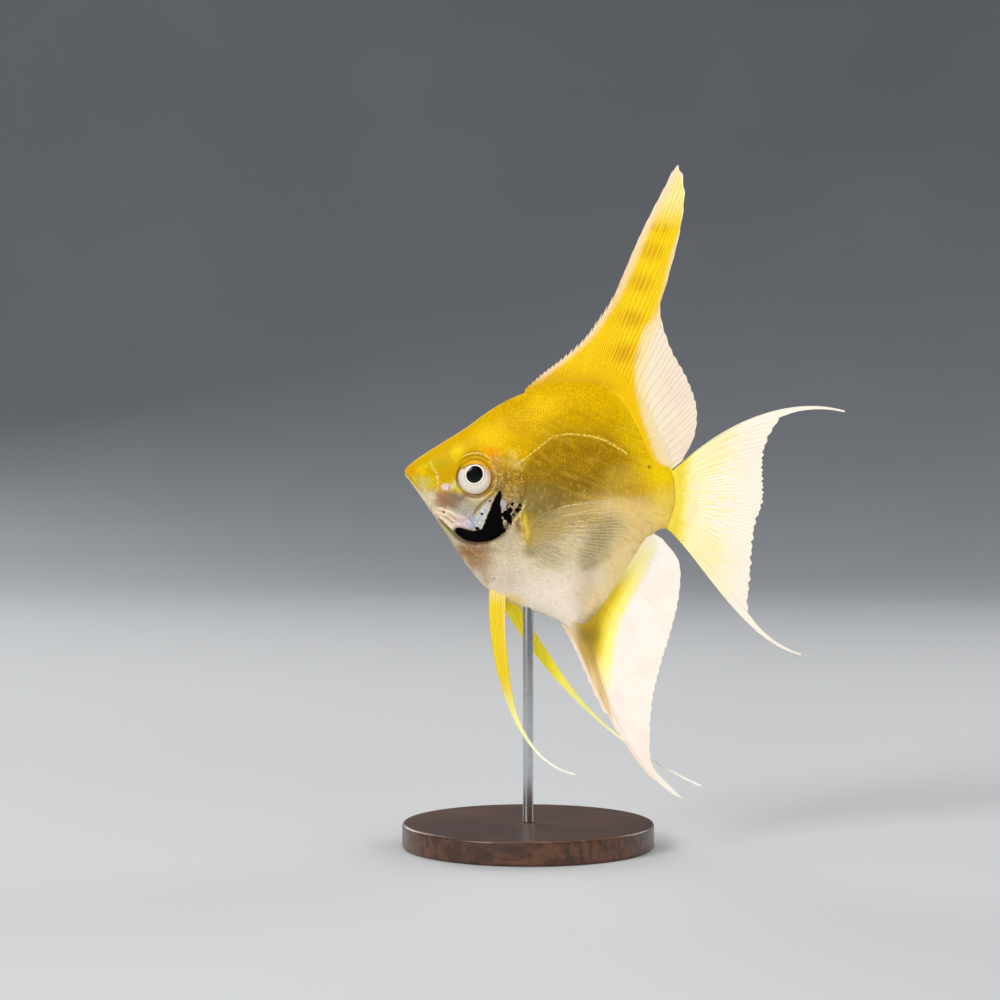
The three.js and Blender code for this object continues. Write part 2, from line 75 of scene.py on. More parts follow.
def to_world(points):
    """Points of the fish's frame in mm, turned to the swimming pose, in metres."""
    x, y, z = MM * np.asarray(points, float).T
    return np.stack([SNOUT_X + x * forward + z * upward, y, SNOUT_Z - x * upward + z * forward], 1)


print(f"snout tip at {SNOUT_X:.4f}, {SNOUT_Z:.4f} m")

# %% [markdown]
# ## Camera
# A long lens from nearly a metre away keeps the fish flat on, as an aquarium keeper would picture
# it, just off its left side and a touch above.

# %% Camera
AZIMUTH, ELEVATION = math.radians(8), math.radians(2)
CAMERA_DISTANCE = 0.7923
AIM_BEHIND_SNOUT, AIM_BELOW_SNOUT = 0.0275, 0.0079
camera_data = bpy.data.cameras.new("camera")
camera_data.lens = 100
camera_data.sensor_width = 36
camera = bpy.data.objects.new("camera", camera_data)
bpy.context.collection.objects.link(camera)
back = Vector((
    math.sin(AZIMUTH) * math.cos(ELEVATION),
    -math.cos(AZIMUTH) * math.cos(ELEVATION),
    math.sin(ELEVATION),
))
aim = Vector((SNOUT_X + AIM_BEHIND_SNOUT, 0, SNOUT_Z - AIM_BELOW_SNOUT))
camera.location = aim + back * CAMERA_DISTANCE
camera.rotation_mode = "QUATERNION"
camera.rotation_quaternion = (-back).to_track_quat("-Z", "Y")
bpy.context.scene.camera = camera
bpy.context.scene.view_settings.view_transform = "Standard"
print("camera at", [round(v, 3) for v in camera.location])

# %% [markdown]
# ## Shader expressions
# A material is a small calculation. Wiring its nodes by hand hides the arithmetic, so one class
# wraps a node's output and lets Python's own operators add the Math nodes. Any other node comes
# from `node`, which sets the node up first and then gives its sockets values or links.


# %% The Paint class
class Paint:
    """One output of a material's nodes."""

    def __init__(self, tree, socket=None):
        self.tree = tree
        self.socket = socket

    def node(self, kind, settings=None, sockets=None, output=0):
        made = self.tree.nodes.new(kind)
        for name, value in (settings or {}).items():
            setattr(made, name, value)
        for name, value in (sockets or {}).items():
            if isinstance(value, Paint):
                self.tree.links.new(value.socket, made.inputs[name])
            else:
                made.inputs[name].default_value = value
        return Paint(self.tree, made.outputs[output])

    def math(self, operation, *values):
        return self.node("ShaderNodeMath", {"operation": operation}, dict(enumerate(values)))

    def __add__(self, other):
        return self.math("ADD", self, other)

    def __radd__(self, other):
        return self.math("ADD", other, self)

    def __sub__(self, other):
        return self.math("SUBTRACT", self, other)

    def __rsub__(self, other):
        return self.math("SUBTRACT", other, self)

    def __mul__(self, other):
        return self.math("MULTIPLY", self, other)

    def __rmul__(self, other):
        return self.math("MULTIPLY", other, self)

    def __truediv__(self, other):
        return self.math("DIVIDE", self, other)

    def __pow__(self, other):
        return self.math("POWER", self, other)

    def __abs__(self):
        return self.math("ABSOLUTE", self)


print("+, -, *, /, ** and abs() of a Paint now make Math nodes")

# %% [markdown]
# ## Words of the paint box
# These helpers are the few moves that every finish here is made of: read a value stored on the
# mesh, fade between two levels, lay one colour over another through a mask, and break a mask up
# with noise.


# %% Paint helpers
def linear(colour):
    """A colour picked on a 0 to 255 scale, made linear for the renderer."""
    if isinstance(colour, Paint):
        return colour
    shares = [value / 255 for value in colour]
    return (*[s / 12.92 if s < 0.04045 else ((s + 0.055) / 1.055) ** 2.4 for s in shares], 1)


def stored(paint, name):
    """The three numbers of a vector stored on the mesh."""
    vector = paint.node("ShaderNodeAttribute", {"attribute_name": name}, output="Vector")
    split = "ShaderNodeSeparateXYZ"
    return vector, [paint.node(split, None, {"Vector": vector}, output) for output in range(3)]


def fade(value, low, high):
    """0 at low, 1 at high, smooth between."""
    settings = {"interpolation_type": "SMOOTHSTEP"}
    sockets = {"Value": value, "From Min": low, "From Max": high}
    return value.node("ShaderNodeMapRange", settings, sockets)


def over(base, colour, mask):
    """A colour laid over another through a mask."""
    sockets = {0: mask, 6: linear(base), 7: linear(colour)}
    return mask.node("ShaderNodeMix", {"data_type": "RGBA"}, sockets, output=2)


def layers(base, *coats):
    """A base under several coats, each a colour and the mask that it shows through."""
    for colour, mask in coats:
        base = over(base, colour, mask)
    return base


def vector_math(vector, operation, other):
    return vector.node("ShaderNodeVectorMath", {"operation": operation}, {0: vector, 1: other})


def length_of(vector):
    settings = {"operation": "LENGTH"}
    return vector.node("ShaderNodeVectorMath", settings, {0: vector}, output="Value")


def noise(vector, scale, detail=2.0, stretch=(1, 1, 1)):
    """Soft noise between 0 and 1, drawn out by stretch."""
    where = vector_math(vector, "MULTIPLY", stretch)
    sockets = {"Vector": where, "Scale": scale, "Detail": detail}
    return where.node("ShaderNodeTexNoise", None, sockets)


def spot(place, at, size, soft):
    """1 inside an oval around a place of the flank, 0 outside."""
    offset = vector_math(place, "SUBTRACT", (at[0], at[1], 0))
    share = vector_math(offset, "MULTIPLY", (1 / size[0], 1 / size[1], 0))
    return fade(length_of(share), 1 + soft, 1 - soft)


def bump(height, distance, strength):
    sockets = {"Height": height, "Distance": distance, "Strength": strength}
    return height.node("ShaderNodeBump", None, sockets)


def finish(name, build, **constants):
    """A material whose varying sockets come from build(paint), and the others are constants."""
    material = bpy.data.materials.new(name)
    material.use_nodes = True
    tree = material.node_tree
    tree.nodes.clear()
    shader = tree.nodes.new("ShaderNodeBsdfPrincipled")
    for socket, value in constants.items():
        shader.inputs[socket.replace("_", " ")].default_value = value
    for socket, value in build(Paint(tree)).items():
        if isinstance(value, Paint):
            tree.links.new(value.socket, shader.inputs[socket])
        else:
            shader.inputs[socket].default_value = value
    output = tree.nodes.new("ShaderNodeOutputMaterial")
    tree.links.new(shader.outputs[0], output.inputs[0])
    print("finish:", name, "with", len(tree.nodes), "nodes")
    return material


print("middle grey of 128 is", round(linear((128, 128, 128))[0], 3), "to the renderer")

# %% [markdown]
# ## Making a piece
# Each piece is one mesh from arrays of points and faces. It carries its place on the fish as a
# stored vector, so that every finish can paint by place and the same marking runs over skin, scales
# and fins.

# %% Piece helper
ROOT = "root"


def piece(name, points, faces, material, nodes=(), stored_values=None, in_fish=True):
    """A smooth mesh that rides on the model and stands for some of its solids."""
    points = np.asarray(points, float)
    mesh = bpy.data.meshes.new(name)
    faces = faces.tolist() if isinstance(faces, np.ndarray) else faces
    mesh.from_pydata(to_world(points) if in_fish else points * MM, [], faces)
    mesh.polygons.foreach_set("use_smooth", np.ones(len(mesh.polygons), bool))
    values = {"place": points[:, [0, 2, 1]] / STANDARD_LENGTH, **(stored_values or {})}
    for key, value in values.items():
        rows = value if value.shape[1] == 3 else np.pad(value, ((0, 0), (0, 3 - value.shape[1])))
        layer = mesh.attributes.new(key, "FLOAT_VECTOR", "POINT")
        layer.data.foreach_set("vector", np.ascontiguousarray(rows, np.float32).ravel())
    mesh.materials.append(material)
    mesh.update()
    made = bpy.data.objects.new(name, mesh)
    bpy.context.collection.objects.link(made)
    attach(made, ROOT)
    if nodes:
        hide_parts(*nodes)
    print(f"{name}: {len(points)} points, {len(mesh.polygons)} faces")
    return made


def crossed(first, second):
    """Every value of one array with every value of another, as two flat arrays."""
    return (v.ravel() for v in np.meshgrid(first, second, indexing="ij"))


def grid_faces(rows, columns):
    """Quads over a grid of points stored row by row."""
    row, column = crossed(np.arange(rows - 1), np.arange(columns - 1))
    first = row * columns + column
    return np.stack([first, first + columns, first + columns + 1, first + 1], 1)


def turned_faces(rings, turns, *ends):
    """Quads between closed rings of points, and fans to the points at one or both ends."""
    pairs = [(i, (i + 1) % turns) for i in range(turns)]
    faces = [
        [r * turns + i, r * turns + j, (r + 1) * turns + j, (r + 1) * turns + i]
        for r in range(rings - 1) for i, j in pairs
    ]
    last = (rings - 1) * turns
    for end, (start, order) in zip(ends, [(0, -1), (last, 1)]):
        faces += [[end, *(start + v for v in pair[::order])] for pair in pairs]
    return faces


def mirrored(points, faces):
    """The same piece on the right flank."""
    return points * (1, -1, 1), [face[::-1] for face in faces]

# %% [markdown]
# ## The body's lines
# A fish's body is drawn by a few smooth lines along its length: the back, the belly, how wide it
# is, how high the widest part lies and how sharp its two edges are. They repeat the lines of the
# solids, so the skin follows them exactly.


# %% Body lines
def smooth(knots):
    """A smooth line through (place, value) knots; its slope at each comes from the neighbours."""
    at, value = np.array(knots, float).T
    before = np.maximum(np.arange(len(at)) - 1, 0)
    after = np.minimum(np.arange(len(at)) + 1, len(at) - 1)
    slope = (value[after] - value[before]) / (at[after] - at[before])

    def line(where):
        where = np.asarray(where, float)
        i = np.clip(np.searchsorted(at, where, side="right") - 1, 0, len(at) - 2)
        span = at[i + 1] - at[i]
        t = np.clip((where - at[i]) / span, 0, 1)
        return (
            value[i] * (1 + 2 * t) * (1 - t) ** 2
            + slope[i] * span * t * (1 - t) ** 2
            + value[i + 1] * t * t * (3 - 2 * t)
            + slope[i + 1] * span * t * t * (t - 1)
        )

    return line


def body_line(knots):
    """A line that runs in the square root of x, which rounds it off at the snout."""
    line = smooth([(math.sqrt(x), value) for x, value in knots])
    return lambda x: line(np.sqrt(np.maximum(x, 0)))


back_line = body_line([
    (0, 0), (0.01, 0.025), (0.03, 0.046), (0.06, 0.071), (0.11, 0.109), (0.2, 0.176), (0.29, 0.253),
    (0.35, 0.294), (0.41, 0.325), (0.52, 0.377), (0.635, 0.405), (0.7, 0.393), (0.76, 0.353),
    (0.82, 0.268), (0.87, 0.172), (0.91, 0.12), (0.95, 0.1), (1, 0.103),
])
belly_line = body_line([
    (0, 0), (0.015, -0.026), (0.03, -0.046), (0.06, -0.08), (0.1, -0.128), (0.17, -0.212),
    (0.215, -0.272), (0.265, -0.328), (0.34, -0.395), (0.42, -0.43), (0.5, -0.452), (0.58, -0.472),
    (0.65, -0.505), (0.7, -0.513), (0.74, -0.47), (0.79, -0.37), (0.85, -0.252), (0.89, -0.165),
    (0.93, -0.12), (1, -0.118),
])
half_width = body_line([
    (0, 0), (0.01, 0.018), (0.04, 0.034), (0.1, 0.05), (0.17, 0.063), (0.26, 0.077), (0.35, 0.089),
    (0.43, 0.094), (0.52, 0.091), (0.62, 0.08), (0.72, 0.063), (0.82, 0.047), (0.92, 0.034),
    (1, 0.024),
])
widest_level = body_line([
    (0, 0), (0.1, -0.02), (0.25, -0.04), (0.42, -0.07), (0.6, -0.04), (0.8, -0.01), (1, -0.007),
])
back_sharpness = body_line([
    (0, 1), (0.12, 1.05), (0.3, 1.25), (0.5, 1.45), (0.7, 1.45), (0.9, 1.15), (1, 1),
])
belly_sharpness = body_line([
    (0, 1), (0.12, 1.1), (0.3, 0.95), (0.42, 1), (0.55, 1.3), (0.7, 1.5), (0.9, 1.15), (1, 1),
])
EDGE_SHARE = 0.1  # share of the width that stays blunt at the two edges


def flank_point(x, angle):
    """A point of the plain left flank in mm: a station x and an angle down from the back."""
    upper = angle < math.pi / 2
    sharpness = np.where(upper, back_sharpness(x), belly_sharpness(x))
    sine = np.maximum(np.sin(angle), 0)
    out = half_width(x) * (EDGE_SHARE * np.sqrt(sine) + (1 - EDGE_SHARE) * sine**sharpness)
    middle = widest_level(x)
    reach = np.where(upper, back_line(x) - middle, middle - belly_line(x))
    return STANDARD_LENGTH * np.stack([x + 0 * angle, -out, middle + reach * np.cos(angle)], -1)


print(f"deepest from {float(belly_line(0.7)):.3f} to {float(back_line(0.635)):.3f}")

# %% [markdown]
# ## A net over the flank
# A mesh shows detail only where it has points. The stations crowd together on the head, where the
# lids, lips and gill cover are, and the points of each ring are spread evenly along the skin from
# the back (share 0) to the belly (share 1).

# %% Net
STATIONS = 250
AROUND = 190


def fade_of(value, low, high):
    """0 at low, 1 at high, smooth between, for arrays."""
    t = np.clip((np.asarray(value, float) - low) / (high - low), 0, 1)
    return t * t * (3 - 2 * t)


def crowding(x):
    """How closely the stations stand at x."""
    head = 1.3 * (1 - fade_of(x, 0.4, 0.56))
    return 1 + head + 0.5 / np.sqrt(x + 0.004)


fine_x = np.linspace(0, 1, 4001)
crowd = np.concatenate([[0], np.cumsum(crowding((fine_x[1:] + fine_x[:-1]) / 2))])
station_x = np.interp(np.linspace(0, crowd[-1], STATIONS + 1)[1:], crowd, fine_x)

fine_angle = np.linspace(0, math.pi, 1201)
section = flank_point(station_x[:, None], fine_angle[None, :])
steps = np.linalg.norm(np.diff(section[..., 1:], axis=1), axis=2)
girth = np.concatenate([np.zeros((STATIONS, 1)), np.cumsum(steps, axis=1)], axis=1)
round_length = girth[:, -1]  # back to belly over the flank, mm
to_widest = np.array([np.interp(math.pi / 2, fine_angle, row) for row in girth])
share = np.linspace(0, 1, AROUND + 1)
angles = np.array([np.interp(share * row[-1], row, fine_angle) for row in girth])
plain_net = flank_point(station_x[:, None], angles)
print(f"net {STATIONS} x {AROUND}, deepest flank {round_length.max():.1f} mm round")


def unit(vectors):
    return vectors / (np.linalg.norm(vectors, axis=-1, keepdims=True) + 1e-12)


def outward(net):
    """Unit normals of a net of the left flank."""
    normal = unit(np.cross(np.gradient(net, axis=0), np.gradient(net, axis=1)))
    normal *= np.where(normal[..., 1:2].mean(axis=1, keepdims=True) > 0, -1, 1)
    normal[:, [0, -1], 1] = 0  # on the middle plane a normal has no sideways part
    return unit(normal)

# %% [markdown]
# ## Lines and rims of the head
# What makes a fish's head read as one is its relief: the rim of the orbit, the edge of the cheek
# plate, the gill cover's free edge, the mouth with its lips and folds, and the nostril. Each is
# given as a line or an oval on the flank, and the skin is raised or sunk by its distance from it.


# %% Distances to lines
def through(points, count=80):
    """Even points on a smooth curve through a few."""
    points = np.array(points, float)
    lengths = np.concatenate([[0], np.cumsum(np.linalg.norm(np.diff(points, axis=0), axis=1))])
    at = np.linspace(0, lengths[-1], count)
    lines = [smooth(list(zip(lengths, points[:, k]))) for k in (0, 1)]
    return np.stack([lines[0](at), lines[1](at)], 1)


def segments(x, z, line):
    """For each segment of a line: share of its length, distance in mm and side of every place."""
    for (ax, az), (bx, bz) in zip(line[:-1], line[1:]):
        dx, dz = bx - ax, bz - az
        t = np.clip(((x - ax) * dx + (z - az) * dz) / (dx * dx + dz * dz), 0, 1)
        far = STANDARD_LENGTH * np.hypot(x - ax - t * dx, z - az - t * dz)
        yield t, far, np.sign(dz * (x - ax) - dx * (z - az))


FAR = 99.0  # mm, for places that a line doesn't reach


def distance_to(x, z, line):
    """Distance in mm from places of the flank to a line, positive on the right of its direction."""
    best, side = np.full(len(x), np.inf), np.ones(len(x))
    for _, far, on_side in segments(x, z, line):
        nearer = far < best
        best, side = np.where(nearer, far, best), np.where(nearer, on_side, side)
    return best * side


def inside_outline(x, z, outline):
    """Distance in mm to a closed outline, negative inside it."""
    ring = through([*outline, outline[0]], 160)
    within = np.zeros(len(x), bool)
    for (ax, az), (bx, bz) in zip(ring[:-1], ring[1:]):
        crosses = (az > z) != (bz > z)
        at = ax + (z - az) * (bx - ax) / np.where(bz == az, 1e-9, bz - az)
        within ^= crosses & (x < at)
    return np.where(within, -1, 1) * np.abs(distance_to(x, z, ring))


upright = [(0, -1), (0, 1)]
print("a share of 0.05 is", distance_to(np.array([0.05]), np.zeros(1), upright), "mm")

# %% Head lines
GILL_EDGE = through([
    (0.398, 0.118), (0.42, 0.096), (0.437, 0.048), (0.45, -0.015), (0.427, -0.081), (0.4, -0.137),
    (0.371, -0.179), (0.32, -0.214), (0.267, -0.224), (0.223, -0.214), (0.19, -0.186),
    (0.153, -0.156),
])
CHEEK_EDGE = through([
    (0.352, 0.07), (0.357, 0.01), (0.345, -0.045), (0.316, -0.1), (0.303, -0.16), (0.296, -0.183),
    (0.245, -0.186), (0.21, -0.18),
])
CHEEK_GROOVE = through([(0.34, -0.042), (0.312, -0.069), (0.285, -0.1), (0.267, -0.134)])
MOUTH = through([(-0.01, 0.002), (0, -0.003), (0.03, -0.026), (0.07, -0.066), (0.1, -0.1)])
LIP_FOLD = through([(0.094, 0.05), (0.112, 0.019), (0.125, 0.002), (0.13, -0.035), (0.126, -0.06)])
JAW_FOLDS = [
    through([(0.125, -0.119), (0.15, -0.119), (0.184, -0.127), (0.234, -0.143), (0.26, -0.16)]),
    through([(0.126, -0.13), (0.165, -0.141), (0.2, -0.156), (0.236, -0.174)]),
    through([(0.12, -0.136), (0.15, -0.152), (0.18, -0.173), (0.202, -0.187)]),
]
print("gill cover's edge:", len(GILL_EDGE), "points")

# %% Outlines on the head
GILL_PATCH = [
    (0.358, -0.027), (0.34, -0.066), (0.331, -0.095), (0.322, -0.124), (0.313, -0.154),
    (0.303, -0.175), (0.286, -0.18), (0.257, -0.182), (0.234, -0.177), (0.215, -0.177),
    (0.205, -0.189), (0.214, -0.201), (0.248, -0.219), (0.278, -0.222), (0.311, -0.219),
    (0.339, -0.211), (0.366, -0.197), (0.39, -0.174), (0.386, -0.151), (0.378, -0.13),
    (0.372, -0.102), (0.367, -0.078), (0.367, -0.042),
]
BLOTCHES = [
    [(0.372, -0.11), (0.39, -0.092), (0.406, -0.085), (0.41, -0.1), (0.408, -0.12), (0.412, -0.143),
     (0.394, -0.136), (0.378, -0.124)],
    [(0.424, -0.1), (0.426, -0.086), (0.432, -0.078), (0.442, -0.067), (0.437, -0.089),
     (0.431, -0.1)],
    [(0.281, -0.177), (0.288, -0.164), (0.3, -0.175)],
]
DOTS = [(0.327, -0.069, 0.4), (0.302, -0.119, 0.4), (0.161, -0.127, 0.3), (0.415, -0.106, 0.45),
        (0.363, -0.345, 0.25), (0.395, -0.075, 0.2), (0.408, -0.072, 0.25)]
CHEEK_STRIP = [
    (0.349, -0.037), (0.333, -0.059), (0.31, -0.087), (0.288, -0.124), (0.275, -0.147),
    (0.284, -0.168), (0.303, -0.173), (0.315, -0.14), (0.322, -0.103), (0.331, -0.077),
    (0.347, -0.051),
]
JAW_PLATE = [
    (0.118, -0.117), (0.147, -0.113), (0.184, -0.12), (0.234, -0.136), (0.262, -0.152),
    (0.262, -0.176), (0.236, -0.181), (0.205, -0.19), (0.182, -0.18), (0.15, -0.158),
    (0.115, -0.138),
]
print("outlines:", 3 + len(BLOTCHES), "and", len(DOTS), "dots")

# %% Lines of the flank
LATERAL_LINE = [
    (0.435, 0.086), (0.488, 0.136), (0.527, 0.172), (0.571, 0.187), (0.624, 0.191), (0.694, 0.184),
    (0.749, 0.162), (0.79, 0.14),
]
BELLY_REAR = through([
    (0.717, -0.546), (0.721, -0.51), (0.733, -0.463), (0.75, -0.419), (0.775, -0.381),
    (0.811, -0.33), (0.848, -0.262), (0.884, -0.19),
])
PECTORAL_BASE = through([
    (0.445, -0.09), (0.452, -0.12), (0.463, -0.15), (0.474, -0.185), (0.479, -0.22),
])
ORBIT = {"x": 0.265, "z": 0.014, "wide": 0.071, "high": 0.079}
NOSTRIL = (0.163, -0.037)
print("lateral line from", LATERAL_LINE[0], "to", LATERAL_LINE[-1])


# %% Fine strokes round the eye and on the jaw
def eye_ring(radius, first, last):
    """Part of a ring round the eye: a radius in mm and two angles up from the rear."""
    turn = np.radians(np.linspace(first, last, 24))
    share = radius / STANDARD_LENGTH
    return np.stack([EYE_X + share * np.cos(turn), EYE_Z + share * np.sin(turn)], 1)


DARK_STROKES = [  # line, half width in mm
    (CHEEK_GROOVE, 0.5), (eye_ring(7.5, 78, 132), 0.12), (eye_ring(6.4, 55, 150), 0.14),
    (eye_ring(5.5, 150, 215), 0.25), (eye_ring(5.5, -128, -12), 0.42),
    (through([(0.149, -0.133), (0.176, -0.147), (0.2, -0.165)]), 0.12),
    (through([(0.185, -0.134), (0.209, -0.149), (0.236, -0.163)]), 0.11),
    (through([(0.15, -0.163), (0.18, -0.187), (0.203, -0.2)]), 0.14),
]
PALE_STROKES = [
    (eye_ring(6.95, 48, 128), 0.16), (eye_ring(6.2, -105, 55), 0.2), (LIP_FOLD, 0.28),
    (through([(0.331, 0.082), (0.345, 0.08), (0.361, 0.075)]), 0.2),
    (through([(0.364, 0.043), (0.359, 0.014), (0.355, -0.018)]), 0.22),
    (through([(0.4, -0.158), (0.426, -0.125), (0.442, -0.102), (0.456, -0.05)]), 0.24),
    (through([(0.4, 0.06), (0.42, 0.074), (0.438, 0.087)]), 0.25),
]
print("strokes:", len(DARK_STROKES), "dark,", len(PALE_STROKES), "pale")


# %% Relief of the head
def hill(value, width):
    return np.exp(-((value / width) ** 2))


def from_orbit(x, z):
    """Distance from the eye's middle as a share of the orbit: 1 on its rim."""
    return np.hypot((x - ORBIT["x"]) / ORBIT["wide"], (z - ORBIT["z"]) / ORBIT["high"])


def relief(x, z):
    """How far the skin stands out from the plain body at places of the flank, in mm."""
    shape, x, z = x.shape, x.ravel(), z.ravel()
    from_eye = STANDARD_LENGTH * np.hypot(x - EYE_X, z - EYE_Z)
    orbit = from_orbit(x, z)
    brow = fade_of(z, 0.0, 0.06)
    rise = (0.1 + 0.14 * brow) * hill(orbit - 1, 0.06)
    rise -= 0.13 * brow * (hill(orbit - 0.9, 0.035) + hill(orbit - 1.1, 0.035))
    rise -= 0.08 * brow * hill(orbit - 1.18, 0.05)
    rise -= 0.7 * (1 - fade_of(from_eye, 4.85, 5.6)) + 2.4 * (1 - fade_of(from_eye, 4.3, 5.0))

    gill = distance_to(x, z, GILL_EDGE)
    free = 0.5 + 0.5 * fade_of(z, 0.05, -0.07)
    rise += 0.26 * free * fade_of(gill, -0.25, 0.2) * hill(np.maximum(gill, 0), 5)
    rise -= 0.4 * free * hill(gill + 0.55, 0.5)
    cheek = distance_to(x, z, CHEEK_EDGE)
    rise += 0.16 * fade_of(cheek, -0.1, 0.25) * hill(np.maximum(cheek, 0), 2.5)
    rise -= 0.16 * hill(cheek + 0.3, 0.3)
    rise -= 0.22 * hill(distance_to(x, z, CHEEK_GROOVE), 0.35)

    lips = 1 - fade_of(x, 0.03, 0.09)
    mouth = np.abs(distance_to(x, z, MOUTH))
    rise += 0.18 * lips * hill(mouth - 0.5, 0.35) - 0.36 * hill(mouth, 0.2)
    fold = distance_to(x, z, LIP_FOLD)
    rise += 0.1 * hill(fold - 0.5, 0.5) - 0.14 * hill(fold + 0.3, 0.4)
    folds = np.min([np.abs(distance_to(x, z, line)) for line in JAW_FOLDS], axis=0)
    rise += 0.2 * hill(folds, 0.35) - 0.06 * hill(folds - 0.8, 0.3)
    rise += 0.45 * hill(distance_to(x, z, PECTORAL_BASE), 0.9)

    nostril = STANDARD_LENGTH * np.hypot(x - NOSTRIL[0], z - NOSTRIL[1])
    rise += 0.16 * hill(nostril - 0.8, 0.3) - 0.35 * hill(nostril, 0.4)
    rise += 0.25 * hill(x - 0.225, 0.05) * hill(z + 0.1, 0.035)  # the cheek's swell
    rise -= 1.5 * fade_of(x, 0.955, 1.01)  # taper into the root of the tail fin
    return rise.reshape(shape)


rim = relief(np.array([ORBIT["x"]]), np.array([ORBIT["z"] + ORBIT["high"]]))
print("relief on the rim of the orbit:", rim.round(2), "mm")

# %% Relief on the net
COAT_DEPTH = 0.22  # how far the skin lies under the solids' surface, mm
TAIL_THINNING = 0.62  # how much of its width the flesh loses at the tail fin's root
plain_normal = outward(plain_net)
place_x, place_z = plain_net[..., 0] / STANDARD_LENGTH, plain_net[..., 2] / STANDARD_LENGTH
height = relief(place_x, place_z) - COAT_DEPTH * fade_of(station_x, 0, 0.02)[:, None]
net = plain_net + plain_normal * height[..., None]
net[..., 1] *= 1 - TAIL_THINNING * fade_of(station_x, 0.93, 1)[:, None]
net[:, [0, -1], 1] = 0
net_normal = outward(net)
print(f"relief from {height.min():.2f} to {height.max():.2f} mm")

# %% [markdown]
# ## Markings of the flank
# The fish is gold above and pale below, with an olive shade under the lateral line, a black patch
# on the gill cover and many small tints on the face. They are painted by place: wide bands first,
# then ovals of colour, then the patch and the lines, whose distances are stored on the mesh so that
# their edges stay crisp at any resolution.


# %% Stored distances
def nearest(x, z, strokes):
    """Distance in mm to the edge of the nearest stroke; strokes thin out towards both ends."""
    best = np.full(len(x), FAR)
    for line, half in strokes:
        for i, (t, far, _) in enumerate(segments(x, z, line)):
            wide = half * np.sin(math.pi * (i + t) / (len(line) - 1)) ** 0.6
            best = np.minimum(best, far - wide)
    return best


def within(mask, values, fill=FAR):
    """Values worked out for the masked points only, and a fill for all the others."""
    full = np.full(len(mask), fill)
    full[mask] = values
    return full


def marks(points):
    """Distances in mm that the flank's finish reads, for points of the fish in mm."""
    x, z = points[:, 0] / STANDARD_LENGTH, points[:, 2] / STANDARD_LENGTH
    lateral = smooth([(0.38, 0.05), *LATERAL_LINE, (0.87, 0.115), (1, 0.06)])
    dots = [STANDARD_LENGTH * np.hypot(x - at, z - level) - size for at, level, size in DOTS]
    head, rear = x < 0.5, x > 0.62
    hx, hz = x[head], z[head]
    black = np.min([inside_outline(hx, hz, outline) for outline in (GILL_PATCH, *BLOTCHES)], axis=0)
    fields = {
        "lines": (
            np.minimum(within(head, black), np.min(dots, axis=0)),
            within(head, distance_to(hx, hz, GILL_EDGE), -FAR),
            STANDARD_LENGTH * (z - lateral(x)),
        ),
        "strokes": (
            within(head, nearest(hx, hz, DARK_STROKES)),
            within(head, nearest(hx, hz, PALE_STROKES)),
            within(head, distance_to(hx, hz, MOUTH), -FAR),
        ),
        "plates": (
            within(head, inside_outline(hx, hz, CHEEK_STRIP)),
            within(head, inside_outline(hx, hz, JAW_PLATE)),
            within(rear, np.abs(distance_to(x[rear], z[rear], BELLY_REAR))),
        ),
        "pads": (within(head, np.abs(distance_to(hx, hz, PECTORAL_BASE))), 0 * x, 0 * x),
    }
    return {key: np.stack(values, 1) for key, values in fields.items()}


print("stored on the net:", ", ".join(marks(net[100])))

# %% Flank colours
GOLD = (212, 167, 2)
FOREHEAD = (205, 162, 2)
DULL_GOLD = (170, 132, 5)
OLIVE_BROWN = (152, 114, 10)
UMBER = (134, 103, 26)
TAN = (190, 158, 80)
BEIGE = (220, 204, 168)
PEARL = (240, 226, 208)
BLACK = (8, 7, 10)

